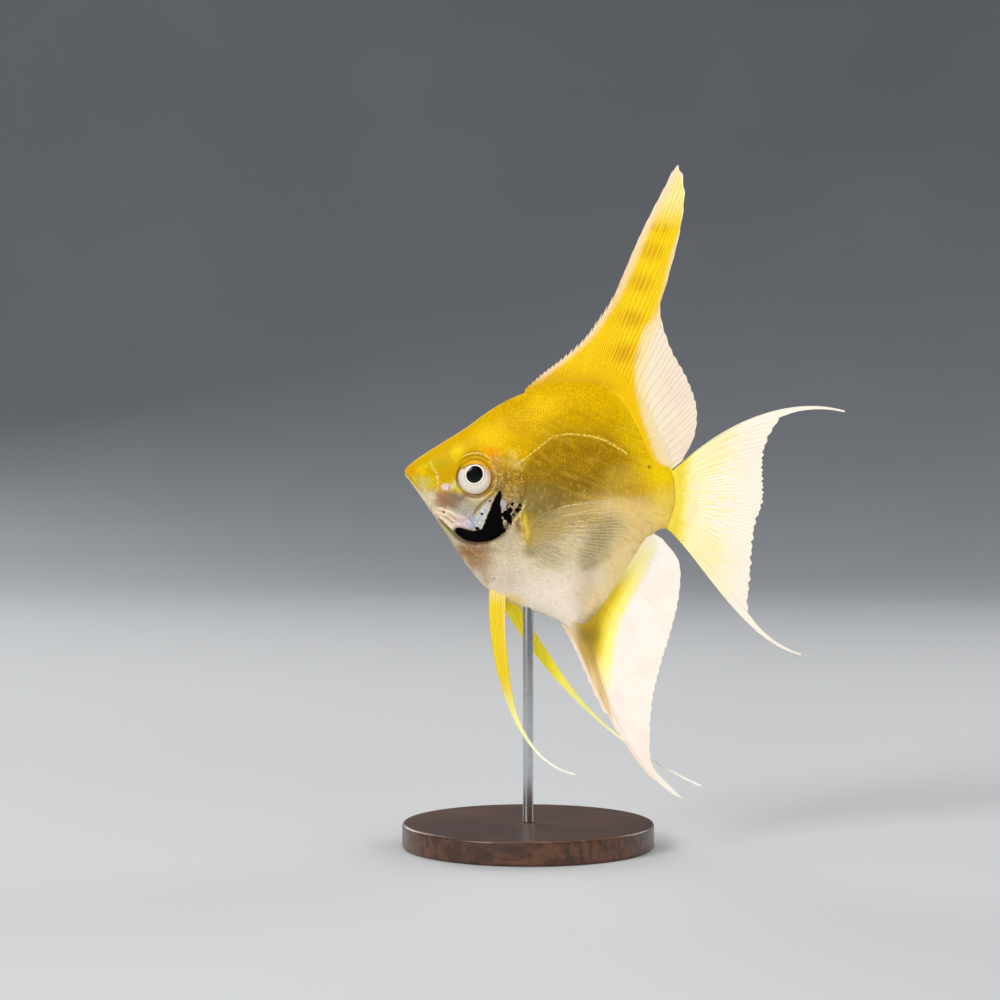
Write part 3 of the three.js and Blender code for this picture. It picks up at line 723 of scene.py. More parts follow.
FACE_TINTS = [  # colour, place, size, strength
    ((214, 152, 8), (0.033, 0.014), (0.028, 0.018), 0.8),
    ((232, 192, 4), (0.066, 0.012), (0.022, 0.022), 0.7),
    ((200, 182, 66), (0.056, -0.024), (0.026, 0.018), 0.85),
    ((204, 184, 116), (0.08, -0.042), (0.022, 0.022), 0.9),
    ((206, 186, 26), (0.108, -0.03), (0.016, 0.024), 0.8),
    ((204, 188, 16), (0.096, 0.036), (0.022, 0.022), 0.6),
    ((180, 160, 10), (0.134, 0.045), (0.022, 0.018), 0.6),
    ((196, 154, 10), (0.15, 0.01), (0.026, 0.03), 0.65),
    ((226, 208, 172), (0.1, -0.088), (0.035, 0.028), 0.8),
    ((206, 204, 124), (0.197, -0.03), (0.016, 0.022), 0.8),
    ((182, 132, 64), (0.153, -0.064), (0.022, 0.012), 0.8),
    ((150, 106, 80), (0.165, -0.09), (0.034, 0.026), 1.0),
    ((130, 98, 84), (0.2, -0.1), (0.028, 0.014), 0.85),
    ((124, 100, 78), (0.206, -0.074), (0.034, 0.02), 0.9),
    ((136, 116, 84), (0.182, -0.084), (0.014, 0.016), 0.7),
    ((164, 160, 132), (0.252, -0.092), (0.034, 0.014), 0.85),
    ((158, 158, 150), (0.24, -0.116), (0.034, 0.016), 0.85),
    ((148, 160, 196), (0.268, -0.152), (0.017, 0.022), 0.95),
    # a painted highlight: a thin white streak on the blue-grey of the lower jaw
    ((240, 242, 244), (0.271, -0.18), (0.018, 0.004), 0.9),
    ((240, 144, 6), (0.322, 0.1), (0.026, 0.02), 0.9),
    ((228, 158, 8), (0.292, 0.116), (0.024, 0.012), 0.7),
    ((190, 138, 66), (0.335, 0.06), (0.018, 0.028), 0.8),
    ((146, 104, 36), (0.355, 0.015), (0.024, 0.045), 0.9),
    ((140, 103, 22), (0.395, 0.008), (0.034, 0.045), 0.9),
    ((198, 170, 88), (0.41, 0.06), (0.024, 0.02), 0.7),
    ((222, 190, 82), (0.392, 0.1), (0.022, 0.018), 0.6),
    ((122, 96, 52), (0.35, -0.024), (0.03, 0.026), 0.85),
    ((74, 64, 54), (0.364, -0.056), (0.014, 0.02), 0.9),
    ((162, 166, 176), (0.373, -0.084), (0.015, 0.02), 0.95),
    ((116, 96, 70), (0.402, -0.066), (0.022, 0.02), 0.8),
    ((138, 116, 58), (0.412, -0.03), (0.03, 0.02), 0.85),
    ((214, 190, 168), (0.421, -0.126), (0.012, 0.016), 0.8),
    ((130, 116, 86), (0.394, -0.152), (0.012, 0.014), 0.8),
    ((140, 104, 54), (0.437, -0.138), (0.012, 0.026), 0.85),
    ((184, 162, 12), (0.456, -0.118), (0.009, 0.018), 0.9),
    ((146, 102, 60), (0.268, -0.262), (0.052, 0.034), 1.0),
    ((154, 118, 78), (0.312, -0.295), (0.05, 0.04), 0.9),
    ((164, 128, 84), (0.336, -0.342), (0.02, 0.03), 0.85),
    ((142, 106, 76), (0.316, -0.242), (0.045, 0.017), 0.75),
    ((196, 190, 112), (0.175, -0.188), (0.022, 0.016), 0.8),
    ((206, 160, 16), (0.165, 0.118), (0.06, 0.025), 0.6),
    ((238, 204, 8), (0.196, 0.09), (0.026, 0.026), 0.8),
    ((190, 146, 8), (0.25, 0.072), (0.045, 0.016), 0.8),
]
FLANK_TINTS = [
    ((240, 208, 84), (0.945, -0.03), (0.05, 0.07), 0.85),
    ((240, 204, 14), (0.93, 0.085), (0.08, 0.05), 0.9),
    ((230, 196, 122), (0.8, -0.05), (0.09, 0.035), 0.7),
    ((132, 116, 62), (0.5, -0.055), (0.08, 0.05), 0.75),
    ((236, 210, 150), (0.805, -0.26), (0.055, 0.1), 0.8),
    ((198, 164, 62), (0.79, 0.045), (0.06, 0.05), 0.65),
    ((240, 216, 110), (0.43, -0.418), (0.04, 0.022), 0.8),
    ((120, 92, 10), (0.874, 0.099), (0.006, 0.006), 0.85),
    ((144, 128, 92), (0.486, -0.235), (0.028, 0.02), 0.7),
    ((210, 194, 172), (0.4, -0.335), (0.07, 0.055), 0.85),
    ((140, 120, 62), (0.758, -0.12), (0.04, 0.045), 0.55),
    ((140, 120, 62), (0.722, -0.18), (0.042, 0.055), 0.85),
    ((146, 128, 76), (0.69, -0.245), (0.034, 0.045), 0.75),
    ((162, 146, 110), (0.55, -0.24), (0.045, 0.035), 0.6),
    ((200, 174, 128), (0.7, -0.37), (0.05, 0.07), 0.65),
    # painted shade in the corner where the anal fin meets the belly
    ((150, 124, 66), (0.705, -0.49), (0.035, 0.05), 0.8),
    ((188, 144, 2), (0.37, 0.275), (0.09, 0.03), 0.6),
    ((234, 190, 4), (0.49, 0.285), (0.06, 0.04), 0.7),
    ((236, 190, 4), (0.3, 0.155), (0.06, 0.035), 0.7),
]
print("tints:", len(FACE_TINTS), "on the face,", len(FLANK_TINTS), "on the flank")

# %% [markdown]
# The colours are laid on in order, from wide to fine. A few things are worked out once and shared:
# the stored distances, some noise to break up edges, and the masks that more than one step needs.


# %% Flank places
def flank_places(paint):
    """Everything on the flank that its colours are worked out from."""
    place, (x, z, _) = stored(paint, "place")
    _, (patch, gill, lateral) = stored(paint, "lines")
    _, (dark, pale, mouth) = stored(paint, "strokes")
    _, (strip, jaw, belly_rear) = stored(paint, "plates")
    _, (pad, _, _) = stored(paint, "pads")
    slanted = x.node("ShaderNodeCombineXYZ", None, {"X": x * 0.2, "Y": z + x * 0.3})
    strands = noise(slanted, 55, 4)
    dull = fade(lateral + (strands - 0.5) * 5, 11, 0.0) * fade(x, 0.38, 0.5) * fade(x, 0.92, 0.7)
    return SimpleNamespace(
        place=place, x=x, z=z, patch=patch, gill=gill, lateral=lateral, dark=dark, pale=pale,
        mouth=mouth, strip=strip, jaw=jaw, belly_rear=belly_rear, pad=pad, dull=dull,
        strands=strands, cloud=noise(place, 9, 3), grain=noise(place, 60, 2),
        streak=noise(place, 26, 3, (0.35, 2.2, 1)),
    )


def wide_bands(at):
    """Gold back, olive and tan flank, pale belly and yellow tail stalk."""
    x, z, cloud, streak = at.x, at.z, at.cloud, at.streak
    deep = at.lateral + (streak - 0.5) * 4 - fade(x, 0.6, 0.74) * 2
    shade = fade(deep, 2.2, -4.0) * fade(x, 0.4, 0.47)
    under = fade(z + (streak - 0.5) * 0.1, 0.1, 0.0)
    wavy = z + (cloud - 0.5) * 0.1 + (streak - 0.5) * 0.06 - fade(x, 0.5, 0.7) * 0.05
    low = wavy + fade(x, 0.68, 0.5) * 0.055
    rear = fade(x + z * 0.25, 0.66, 0.8)
    lines_show = fade(x, 0.42, 0.5) * fade(z, 0.32, 0.2) * fade(z, -0.42, -0.2)
    return layers(
        GOLD,
        (FOREHEAD, fade(x + z * 0.4, 0.5, 0.2)),
        ((196, 148, 2), fade(cloud, 0.5, 0.72) * 0.55),
        (DULL_GOLD, at.dull * (0.9 - fade(z, 0.08, 0.2) * 0.36)),
        (OLIVE_BROWN, shade * fade(x, 0.9, 0.7)),
        (UMBER, under * shade * fade(x, 0.82, 0.62)),
        ((150, 104, 44), shade * fade(streak, 0.5, 0.7) * fade(x, 0.86, 0.7) * 0.35),
        (TAN, fade(low, 0.0, -0.1) * fade(x, 0.36, 0.44)),
        (BEIGE, fade(wavy, -0.14, -0.24)),
        (PEARL, fade(wavy + x * 0.1, -0.2, -0.34)),
        ((234, 204, 134), rear * fade(z, 0.0, -0.08) * 0.85),
        ((236, 196, 14), fade(x + z * 0.5, 0.84, 0.98) * fade(z, 0.02, 0.12)),
        # the tail stalk's yellow, made paler towards its tapering end: partly its own pale yellow,
        # partly painted light that offsets the shade of the taper
        ((250, 219, 84), fade(x, 0.945, 0.972) * 0.85),
        ((255, 236, 120), fade(x, 0.958, 0.978)),
        ((206, 166, 60), fade(at.strands, 0.52, 0.68) * lines_show * 0.34),
        ((112, 84, 24), fade(at.strands, 0.47, 0.32) * lines_show * 0.36),
    )
print("the dull gold fades out 11 mm above the lateral line")


# %% Tints and lines of the head
def ovals(colour, at):
    """The small tints of the face, with torn edges, and those of the flank."""
    x, z, place = at.x, at.z, at.place
    sockets = {"Vector": place, "Scale": 34, "Detail": 3}
    blur = place.node("ShaderNodeTexNoise", None, sockets, "Color")
    blur = vector_math(vector_math(blur, "SUBTRACT", (0.5, 0.5, 0.5)), "MULTIPLY", (0.05, 0.05, 0))
    torn = vector_math(place, "ADD", blur)
    face = fade(z + (at.grain - 0.5) * 0.03, -0.038, -0.075)
    face = face * fade(x, 0.47, 0.41) * fade(z, -0.3, -0.2)
    colour = over(colour, (190, 176, 146), face)
    for tints, where, soft in ((FACE_TINTS, torn, 0.7), (FLANK_TINTS, place, 0.8)):
        for shade, middle, size, strength in tints:
            colour = over(colour, shade, spot(where, middle, size, soft) * strength)
    edge = at.belly_rear + (at.streak - 0.5) * 1.6
    warm = fade(edge, 6.5, 3.0) * fade(z, -0.2, -0.3) * fade(z, -0.48, -0.4)
    return layers(
        colour,
        ((238, 210, 144), warm * 0.6),
        # painted shade: an olive band along the belly's rear edge, where the anal fin joins the
        # body
        ((168, 142, 34), fade(edge, 3.4, 1.0) * fade(z, -0.36, -0.45) * 0.85),
    )


def head_lines(colour, at):
    """Jaw plate, cheek strip, lips, nostril, fine strokes, specks and the pectoral fin's pad."""
    x, z, place, grain = at.x, at.z, at.place, at.grain
    jaw_colour = layers(
        (236, 214, 184),
        ((214, 190, 204), fade(x, 0.18, 0.25)),
        ((190, 150, 124), fade(noise(place, 40, 2, (0.6, 2, 1)), 0.5, 0.68) * 0.5),
    )
    strip_colour = over((176, 182, 180), (222, 226, 226), fade(grain, 0.4, 0.65))
    broken = fade(noise(place, 90, 3), 0.3, 0.62)
    speck = fade(noise(place, 130, 3), 0.48, 0.66) * fade(x, 0.5, 0.4) * fade(z, 0.12, 0.0)
    pale_speck = fade(noise(place, 100, 3, (1, 1.4, 1)), 0.52, 0.66)
    pale_speck = pale_speck * fade(x, 0.46, 0.4) * fade(z, 0.1, 0.0)
    canal_line = fade(abs(at.lateral), 0.55, 0.15) * fade(x, 0.44, 0.48) * fade(x, 0.8, 0.72)
    pad_lines = noise(place, 34, 3, (2, 0.5, 1))
    pad = fade(at.pad + (pad_lines - 0.5) * 1.4, 1.3, 0.3)
    pad = pad * fade(z, -0.23, -0.19) * fade(z, -0.085, -0.12)
    pad_colour = over((214, 186, 70), (170, 140, 40), fade(pad_lines, 0.45, 0.6))
    return layers(
        colour,
        (jaw_colour, fade(at.jaw + (grain - 0.5) * 0.6, 0.4, -0.3) * 0.92),
        (strip_colour, fade(at.strip + (grain - 0.5) * 0.4, 0.3, -0.3) * 0.95),
        ((232, 216, 172), fade(at.mouth, 0.0, 0.5) * fade(x, 0.12, 0.09) * 0.8),
        ((236, 212, 222), spot(place, NOSTRIL, (0.017, 0.011), 0.6) * 0.85),
        ((120, 92, 60), spot(place, (0.175, -0.04), (0.004, 0.008), 0.6) * 0.6),
        ((248, 218, 140), fade(at.pale, 0.3, -0.2) * broken * 0.7),
        ((104, 78, 22), fade(at.dark + (grain - 0.5) * 0.3, 0.25, -0.2) * 0.7),
        ((104, 78, 30), speck * fade(z, -0.38, -0.24) * 0.26),
        ((236, 214, 178), pale_speck * fade(x, 0.16, 0.3) * 0.22),
        ((224, 190, 60), canal_line * broken * 0.6),
        (pad_colour, pad * 0.85),
    )
print("tints laid on:", len(FACE_TINTS) + len(FLANK_TINTS))


# %% Gill cover and patch
def gill_cover(colour, at):
    """Shaded rim, brown fringe of the patch, worn gold and pearly dots."""
    x, z, place = at.x, at.z, at.place
    rim_shade = fade(abs(at.gill + 0.4), 0.9, 0.2) * fade(z, -0.05, -0.1)
    fringe = fade(at.patch + (at.grain - 0.5) * 0.8, 1.3, 0.0)
    fringe = fringe * fade(z, -0.15, -0.19) * fade(z, -0.28, -0.25)
    pearls = place.node("ShaderNodeTexVoronoi", None, {"Vector": place, "Scale": 75})
    bright = fade(pearls, 0.34, 0.12) * fade(noise(place, 30, 2), 0.46, 0.6)
    on_gill = fade(x, 0.3, 0.34) * fade(at.gill, -0.2, 0.3) * fade(z, -0.18, -0.1)
    low = fade(z, 0.12, 0.06)
    return layers(
        colour,
        ((92, 76, 46), rim_shade * 0.7),
        ((92, 70, 46), fringe * 0.75),
        ((112, 82, 30), fade(noise(place, 30, 4), 0.4, 0.6) * on_gill * low * 0.55),
        ((214, 170, 96), fade(noise(place, 64, 4), 0.5, 0.62) * on_gill * low * 0.4),
        ((246, 206, 110), bright * on_gill * fade(z, -0.06, 0.02) * 0.75),
        ((220, 206, 210), bright * on_gill * fade(z, -0.02, -0.07) * 0.6),
    )


def flank_colour(paint):
    """Colour, black patch, sheen and grain of skin and scales."""
    at = flank_places(paint)
    x, z, place = at.x, at.z, at.place
    colour = gill_cover(head_lines(ovals(wide_bands(at), at), at), at)
    ragged = at.patch + (noise(place, 90, 4) - 0.53) * 2.8 * fade(x, 0.365, 0.39)
    at.black = fade(ragged + (noise(place, 110, 3) - 0.5) * 0.8, 0.12, -0.12)
    fine = noise(place, 210, 3, (0.7, 1, 1))
    gold_zone = fade(z, -0.04, 0.06) * (1 - at.dull * 0.55) * (1 - at.black)
    # painted glitter: small bright flecks on the gold stand in for the sparkle of the scales
    glitter = fade(fine, 0.5, 0.62) * fade(noise(place, 20, 3), 0.34, 0.58) * gold_zone
    at.colour = layers(
        colour,
        (BLACK, at.black),
        ((244, 202, 8), glitter * fade(x, 0.16, 0.36) * 0.5),
        ((170, 126, 2), fade(fine, 0.47, 0.36) * gold_zone * fade(x, 0.04, 0.3) * 0.24),
    )
    at.sheen = (0.07 - fade(z, -0.12, 0.02) * 0.055) * (1 - at.black * 0.7)
    return at
print("the black patch has", len(GILL_PATCH), "corners")


# %% Skin finish
def build_skin(paint):
    flank = flank_colour(paint)
    rough = 0.36 + flank.grain * 0.16 - flank.black * 0.06
    pores = noise(flank.place, 130, 2) * 0.6 + flank.grain * 0.4
    return {
        "Base Color": flank.colour,
        "Roughness": rough,
        "Metallic": flank.black * 0.6,
        "Coat Weight": flank.sheen,
        "Normal": bump(pores, 0.00006, 0.5),
    }


gold_skin = finish(
    "gold_skin", build_skin, Coat_Roughness=0.15, Subsurface_Weight=0.05,
    Subsurface_Radius=(0.002, 0.001, 0.0005), Specular_IOR_Level=0.05,
    Specular_Tint=(1, 0.8, 0.3, 1),
)

# %% [markdown]
# ## One skin
# The solids were parted with thin cuts, which a living fish doesn't have. A single net over both
# flanks, closed at the snout and at the tail, stands for all of the flesh. The unwrap is the skin's
# own: along the fish and round it, one flank above the other.

# %% Skin
FLESH = [
    "head", "upper_jaw", "lower_jaw", "trunk", "tail_stalk", "gill_cover_left", "gill_cover_right",
]


MAP_EDGE = 0.01  # empty rim of the unwrap
FLANK_HIGH = 0.47  # height of one flank on it


def unwrap(x, down, right):
    """Place on the unwrap: x along the fish, down from back to belly, one flank over the other."""
    across = MAP_EDGE + (1 - 2 * MAP_EDGE) * x
    return np.stack([across, MAP_EDGE + FLANK_HIGH * down + 0.5 * right], -1)


def bake_map(made, corner_uv):
    layer = made.data.uv_layers.new(name="OFBake")
    layer.data.foreach_set("uv", np.ascontiguousarray(corner_uv, np.float32).ravel())


right_net = net[:, -2:0:-1] * (1, -1, 1)  # from belly to back, without the two shared edges
rings = np.concatenate([net, right_net], axis=1)
per_ring = 2 * AROUND
snout_end = [0.02, 0, 0]
tail_end = [STANDARD_LENGTH, 0, STANDARD_LENGTH * -0.007]
skin_points = np.concatenate([rings.reshape(-1, 3), [snout_end, tail_end]])
snout, tail = STATIONS * per_ring, STATIONS * per_ring + 1

ring, column = crossed(np.arange(STATIONS - 1), np.arange(per_ring))
corner_x = station_x[np.stack([ring, ring, ring + 1, ring + 1], 1)]
corner_column = np.stack([column, column + 1, column + 1, column], 1)
on_right = (column >= AROUND)[:, None]
corner_down = np.where(on_right, per_ring - corner_column, corner_column) / AROUND
quad_uv = unwrap(corner_x, corner_down, on_right).reshape(-1, 2)


def cap_uv(i, x):
    """Corners on the unwrap of one of the small faces that close the skin at its two ends."""
    right = i >= AROUND
    ends = [(per_ring - v if right else v) / AROUND for v in (i, i + 1)]
    first, second = ends if x > 0.5 else ends[::-1]
    return [unwrap(x, down, right) for down in ((first + second) / 2, first, second)]


cap_corners = [corner for x in (0.0, 1.0) for i in range(per_ring) for corner in cap_uv(i, x)]
skin_faces = turned_faces(STATIONS, per_ring, snout, tail)
skin = piece("skin", skin_points, skin_faces, gold_skin, FLESH, marks(skin_points))
bake_map(skin, np.concatenate([quad_uv, cap_corners]))

# %% [markdown]
# ## Places on the skin
# The coat, the lateral line and the fin roots all sit on the skin. One lookup turns a station and a
# share of the way from back to belly into a point, lifted off the skin by a given height.


# %% Skin lookup
def on_skin(x, down, lift):
    """Points of the left flank lifted off the skin, in mm."""
    ring_at = np.interp(x, station_x, np.arange(STATIONS))
    column_at = np.clip(down, 0, 1) * AROUND
    i = np.minimum(ring_at.astype(int), STATIONS - 2)
    j = np.minimum(column_at.astype(int), AROUND - 1)
    a, b = (ring_at - i)[:, None], (column_at - j)[:, None]

    def between(values):
        upper = values[i, j] * (1 - a) + values[i + 1, j] * a
        lower = values[i, j + 1] * (1 - a) + values[i + 1, j + 1] * a
        return upper * (1 - b) + lower * b

    return between(net) + unit(between(net_normal)) * np.asarray(lift)[:, None]


def down_at(x, z):
    """Share of the way from back to belly at which the flank has the height z."""
    rows = np.rint(np.interp(x, station_x, np.arange(STATIONS))).astype(int)
    heights = net[rows, :, 2] / STANDARD_LENGTH
    return np.array([np.interp(-level, -row, share) for level, row in zip(z, heights)])


print("the eye's height is at", down_at([EYE_X], [EYE_Z]).round(2), "of the way from back to belly")

# %% [markdown]
# ## The coat
# Angelfish scales are small shingles. Each is rooted in the skin, lies back over the next two and
# shows only its rounded rear edge, so the coat looks like a net of little arcs. The rows fan out
# behind the head and draw together again on the tail stalk, which keeps the smallest scales on the
# face. Every scale is built on the same small template and bent onto the skin.

# %% Scale rows
ROW_PITCH = 1.36  # height of a row on the trunk, mm
COLUMN_SHARE = 0.58  # distance between staggered columns, in row pitches
ROWS = 46  # rows above and below the widest line
SCALE_LENGTH = 2.5  # columns
SCALE_HALF = 0.62  # rows
ROOT_AHEAD = 1.1  # how far a scale starts ahead of its place, columns


def row_pitch(x):
    """Height of a row in mm: smallest on the face, smaller again on the tail stalk."""
    return ROW_PITCH * (0.46 + 0.54 * fade_of(x, 0.2, 0.52)) * (1 - 0.35 * fade_of(x, 0.78, 1.0))


column_number = np.concatenate([[0], np.cumsum(
    np.diff(fine_x) * STANDARD_LENGTH / (COLUMN_SHARE * row_pitch(fine_x[:-1]))
)])


def from_rows(column, row):
    """Station and share from back to belly of a place given in columns and rows."""
    x = np.interp(column, column_number, fine_x)
    up = row_pitch(x) * row * (1 - 0.16 * (row / ROWS) ** 2)
    return x, (np.interp(x, station_x, to_widest) - up) / np.interp(x, station_x, round_length)


def bears_scale(x, z):
    """Where scales grow: not on snout, jaws, lids or the free edge of the gill cover."""
    orbit = from_orbit(x, z)
    gill = distance_to(x, z, GILL_EDGE)
    snout = x - 0.215 - 0.25 * np.maximum(z - 0.06, 0) + 0.1 * np.maximum(-0.03 - z, 0)
    chin = (z < -0.14) & (x < 0.26) & (gill < 0)
    bare = inside_outline(x, z, JAW_PLATE) < 0.4
    bare |= np.abs(distance_to(x, z, PECTORAL_BASE)) < 0.8
    naked = (orbit < 1.24) | (snout < 0) | ((gill > -1.25) & (gill < 0.5)) | chin | bare
    return ~naked & (np.abs(distance_to(x, z, CHEEK_EDGE)) > 0.4)


columns, rows = np.meshgrid(np.arange(2, column_number[-1] - 1.2), np.arange(-ROWS, ROWS + 1))
columns, rows = columns.ravel(), (rows + 0.5 * (columns % 2)).ravel()
root_x, root_down = from_rows(columns, rows)
on_fish = (root_down > 0.004) & (root_down < 0.996)
columns, rows, root_x, root_down = (v[on_fish] for v in (columns, rows, root_x, root_down))
root = on_skin(root_x, root_down, np.zeros(len(root_x))) / STANDARD_LENGTH
scaled = bears_scale(root[:, 0], root[:, 2])
columns, rows, root_x, root_down = (v[scaled] for v in (columns, rows, root_x, root_down))
print("scales on a flank:", len(columns))

# %% Scale shape
ALONG = np.array([0, 0.35, 0.65, 0.88, 1.0, 1.02])
ACROSS = np.linspace(-1, 1, 5)
a, b = crossed(ALONG, ACROSS)  # a runs along a scale from its root, b across it
lip = a > 1.01  # the last row is turned down
width = 0.72 + 0.28 * np.sin(math.pi * np.clip(a * 0.9, 0, 1))
template_column = (np.minimum(a, 1) * SCALE_LENGTH) * (1 - 0.24 * b * b) - ROOT_AHEAD
template_row = b * SCALE_HALF * width
template_lift = np.where(lip, -0.05, -0.05 + 0.2 * a**1.4 - 0.07 * b * b)
template_map = 0.0015 * np.stack([2 * a - 1, -b], 1)  # its own small patch of the unwrap


def shingles(count):
    """Faces of many scales, stored one after the other."""
    faces = grid_faces(len(ALONG), len(ACROSS))
    return (faces + len(a) * np.arange(count)[:, None, None]).reshape(-1, 4)


def coat(name, right, seed):
    """Half of the coat: every scale of one flank in one mesh."""
    chance = np.random.default_rng(seed)
    count, size = len(columns), len(a)
    tone = chance.random(count)
    tilt = 1 + 0.25 * (chance.random(count) - 0.5)
    column = columns[:, None] + template_column
    row = rows[:, None] + template_row
    x, down = from_rows(column.ravel(), row.ravel())
    small = row_pitch(x) / ROW_PITCH
    raised = 0.15 + 0.85 * fade_of(root_x, 0.22, 0.55)
    lift = (template_lift * (tilt * raised)[:, None]).ravel() * small
    points = on_skin(np.minimum(x, 1), down, lift)
    faces = shingles(count)
    corner = unwrap(root_x, root_down, right)[:, None] + template_map
    if right:
        points, faces = mirrored(points, faces)
    values = marks(points)
    values["scale"] = np.stack([np.tile(a, count), np.tile(b, count), np.repeat(tone, size)], 1)
    made = piece(name, points, faces, scale_finish, (), values)
    bake_map(made, corner.reshape(-1, 2)[np.asarray(faces).ravel()])
    return made
print("points in a scale:", len(a))


# %% Scale finish
def build_scales(paint):
    flank = flank_colour(paint)
    _, (along, _, tone) = stored(paint, "scale")
    shine = 1 - flank.black
    # painted light and shade on each scale: a painted highlight along its rear edge, painted glints
    # on a few scales, and painted shade at its root under the scale in front; light is the colour
    # of both highlights
    light = over((244, 232, 206), (250, 208, 24), fade(flank.z, -0.1, 0.04))
    edge = fade(along, 0.7, 1.0) * fade(tone, 0.3, 1)
    painted_glint = fade(tone, 0.8, 1.0) * fade(along, 0.3, 0.8) * fade(flank.x, 0.26, 0.42)
    pocket_shade = fade(along, 0.62, 0.3) * fade(flank.x, 0.24, 0.45)
    colour = layers(
        flank.colour,
        (light, edge * 0.11 * shine),
        (light, painted_glint * 0.1 * shine),
        ((140, 102, 8), pocket_shade * 0.1 * shine),
        ((120, 88, 20), fade(tone, 0.4, 0.0) * 0.08 * shine),
    )
    fine = noise(flank.place, 120, 2, (0.4, 1.6, 1))
    rough = 0.3 + tone * 0.14 + fine * 0.12
    return {
        "Base Color": colour,
        "Roughness": rough,
        "Metallic": 0.03 + flank.black * 0.57,
        "Coat Weight": flank.sheen,
        "Normal": bump(fine, 0.00005, 0.5),
    }


scale_finish = finish(
    "scale_finish", build_scales, Coat_Roughness=0.14, Specular_IOR_Level=0.05,
    Specular_Tint=(1, 0.8, 0.3, 1),
)
coat("scales_left", False, 11)
coat("scales_right", True, 12)

# %% [markdown]
# ## Lateral line
# A row of scales along the flank is pierced by a canal that feels movement in the water. It shows
# as a pale arc of short tubes, so each is a small bead laid on the coat.


# %% Lateral line
def ball(turns=8, rings=5):
    """Points and faces of a unit ball."""
    theta = np.linspace(0, math.pi, rings + 2)[1:-1]
    t, p = crossed(theta, np.linspace(0, 2 * math.pi, turns, endpoint=False))
    points = np.stack([np.cos(t), np.sin(t) * np.cos(p), np.sin(t) * np.sin(p)], 1)
    faces = turned_faces(rings, turns, rings * turns, rings * turns + 1)
    return np.concatenate([points, [[1, 0, 0], [-1, 0, 0]]]), [face[::-1] for face in faces]


BEAD = (0.68, 0.16, 0.36)  # half length, half thickness and half height of a tube, mm


def canal(name, right):
    line = through(LATERAL_LINE, 26)
    spots = on_skin(line[:, 0], down_at(line[:, 0], line[:, 1]), np.full(len(line), 0.14))
    side = np.array([0, -1.0, 0])
    bead, bead_faces = ball()
    points, faces = [], []
    for at, ahead in zip(spots, unit(np.gradient(spots, axis=0))):
        faces += [[v + len(points) * len(bead) for v in face] for face in bead_faces]
        points.append(at + bead * BEAD @ np.stack([ahead, side, np.cross(side, ahead)]))
    points = np.concatenate(points)
    if right:
        points, faces = mirrored(points, faces)
    return piece(name, points, faces, canal_finish)


def build_canal(paint):
    place, _ = stored(paint, "place")
    mottled = noise(place, 90, 2)
    colour = over((236, 204, 84), (196, 158, 34), fade(mottled, 0.42, 0.66))
    return {"Base Color": colour, "Roughness": 0.32 + mottled * 0.15}


canal_finish = finish("canal_finish", build_canal, Specular_IOR_Level=0.15)
canal("lateral_line_left", False)
canal("lateral_line_right", True)

# %% [markdown]
# ## Eyes
# A fish has no lids to speak of and looks through a flat, round cornea. The eye is one lathe-like
# net: a black pupil that bulges like the lens behind it, a silvery iris and a gold outer ring that
# turns back into the orbit. Its colours are painted by distance from the pupil and by height.

# %% Eye finish
EYE_RADIUS = 5.2  # mm
EYE_SIDE = 4.2  # centre of the ball, off the middle plane
EYE_DEPTH = 2.85
LENS_BULGE = 0.12
PUPIL = {"x": -0.04, "z": 0.96, "radius": 2.42}


def root(value):
    return value.math("SQRT", value)


def build_eye(paint):
    where, (x, z, _) = stored(paint, "eye")
    across, up = x - PUPIL["x"], z - PUPIL["z"]
    long_way, short_way = across * 0.55 + up * 0.835, up * 0.55 - across * 0.835
    to_pupil = root((long_way * 0.96) ** 2.0 + (short_way * 1.04) ** 2.0)
    radius = root(x**2.0 + z**2.0)
    angle = x.math("ARCTAN2", z, x)
    around = x.node("ShaderNodeCombineXYZ", None, {"X": angle * 5, "Y": radius * 0.7})
    striae = noise(around, 4.6, 4)
    mottle = noise(where, 1.6, 3)
    lid = z + x * x * 0.1 - 3.8 + (mottle - 0.5) * 0.5
    rim = fade(radius, 4.55, 4.95)
    ring = fade(to_pupil, 2.8, 2.68)
    colour = layers(
        (230, 218, 200),
        ((140, 122, 100), fade(striae, 0.5, 0.66) * 0.8),
        ((246, 238, 224), fade(striae, 0.44, 0.34) * 0.6),
        ((216, 202, 206), fade(x, -2.6, -3.8) * fade(z, 2.0, 0.8) * 0.6),
        ((222, 190, 150), fade(radius, 3.9, 4.6) * fade(z - x, 1.0, -2.0) * 0.6),
        # painted shade: the iris is darker at its upper rear and upper front, in the shadow of the
        # lid
        ((196, 168, 132), fade(x + z, 3.6, 5.6) * 0.7),
        ((176, 128, 100), spot(where, (-2.9, 2.6), (1.0, 0.8), 0.6) * fade(striae, 0.35, 0.55)),
        ((214, 162, 22), fade(lid, -0.2, 0.25)),
        ((112, 84, 12), fade(abs(lid), 0.3, 0.1) * fade(x, 2.6, 1.2) * 0.8),
        ((206, 130, 50), rim * fade(x, 1.0, 3.0) * 0.8),
        # painted shade: a dark brown crescent at the lower rear of the rim, in the gap between
        # eyeball and orbit
        ((112, 54, 12), rim * fade(x * 0.6 - z, 1.2, 3.6) * 0.95),
        ((150, 134, 24), rim * fade(x, -2.5, -4.2) * 0.8),
        ((158, 140, 120), fade(to_pupil, 3.1, 2.82) * 0.6),
        ((246, 238, 224), ring),
        ((4, 4, 7), fade(to_pupil, PUPIL["radius"] + 0.07, PUPIL["radius"] - 0.07)),
    )
    height_map = striae * fade(to_pupil, 2.5, 3.1)
    return {
        "Base Color": colour,
        "Roughness": 0.3 - 0.1 * striae,
        "Normal": bump(height_map, 0.00012, 0.4),
    }


eye_finish = finish(
    "eye_finish", build_eye, Coat_Weight=0.22, Coat_Roughness=0.04, Coat_IOR=1.4,
    Specular_IOR_Level=0.2,
)


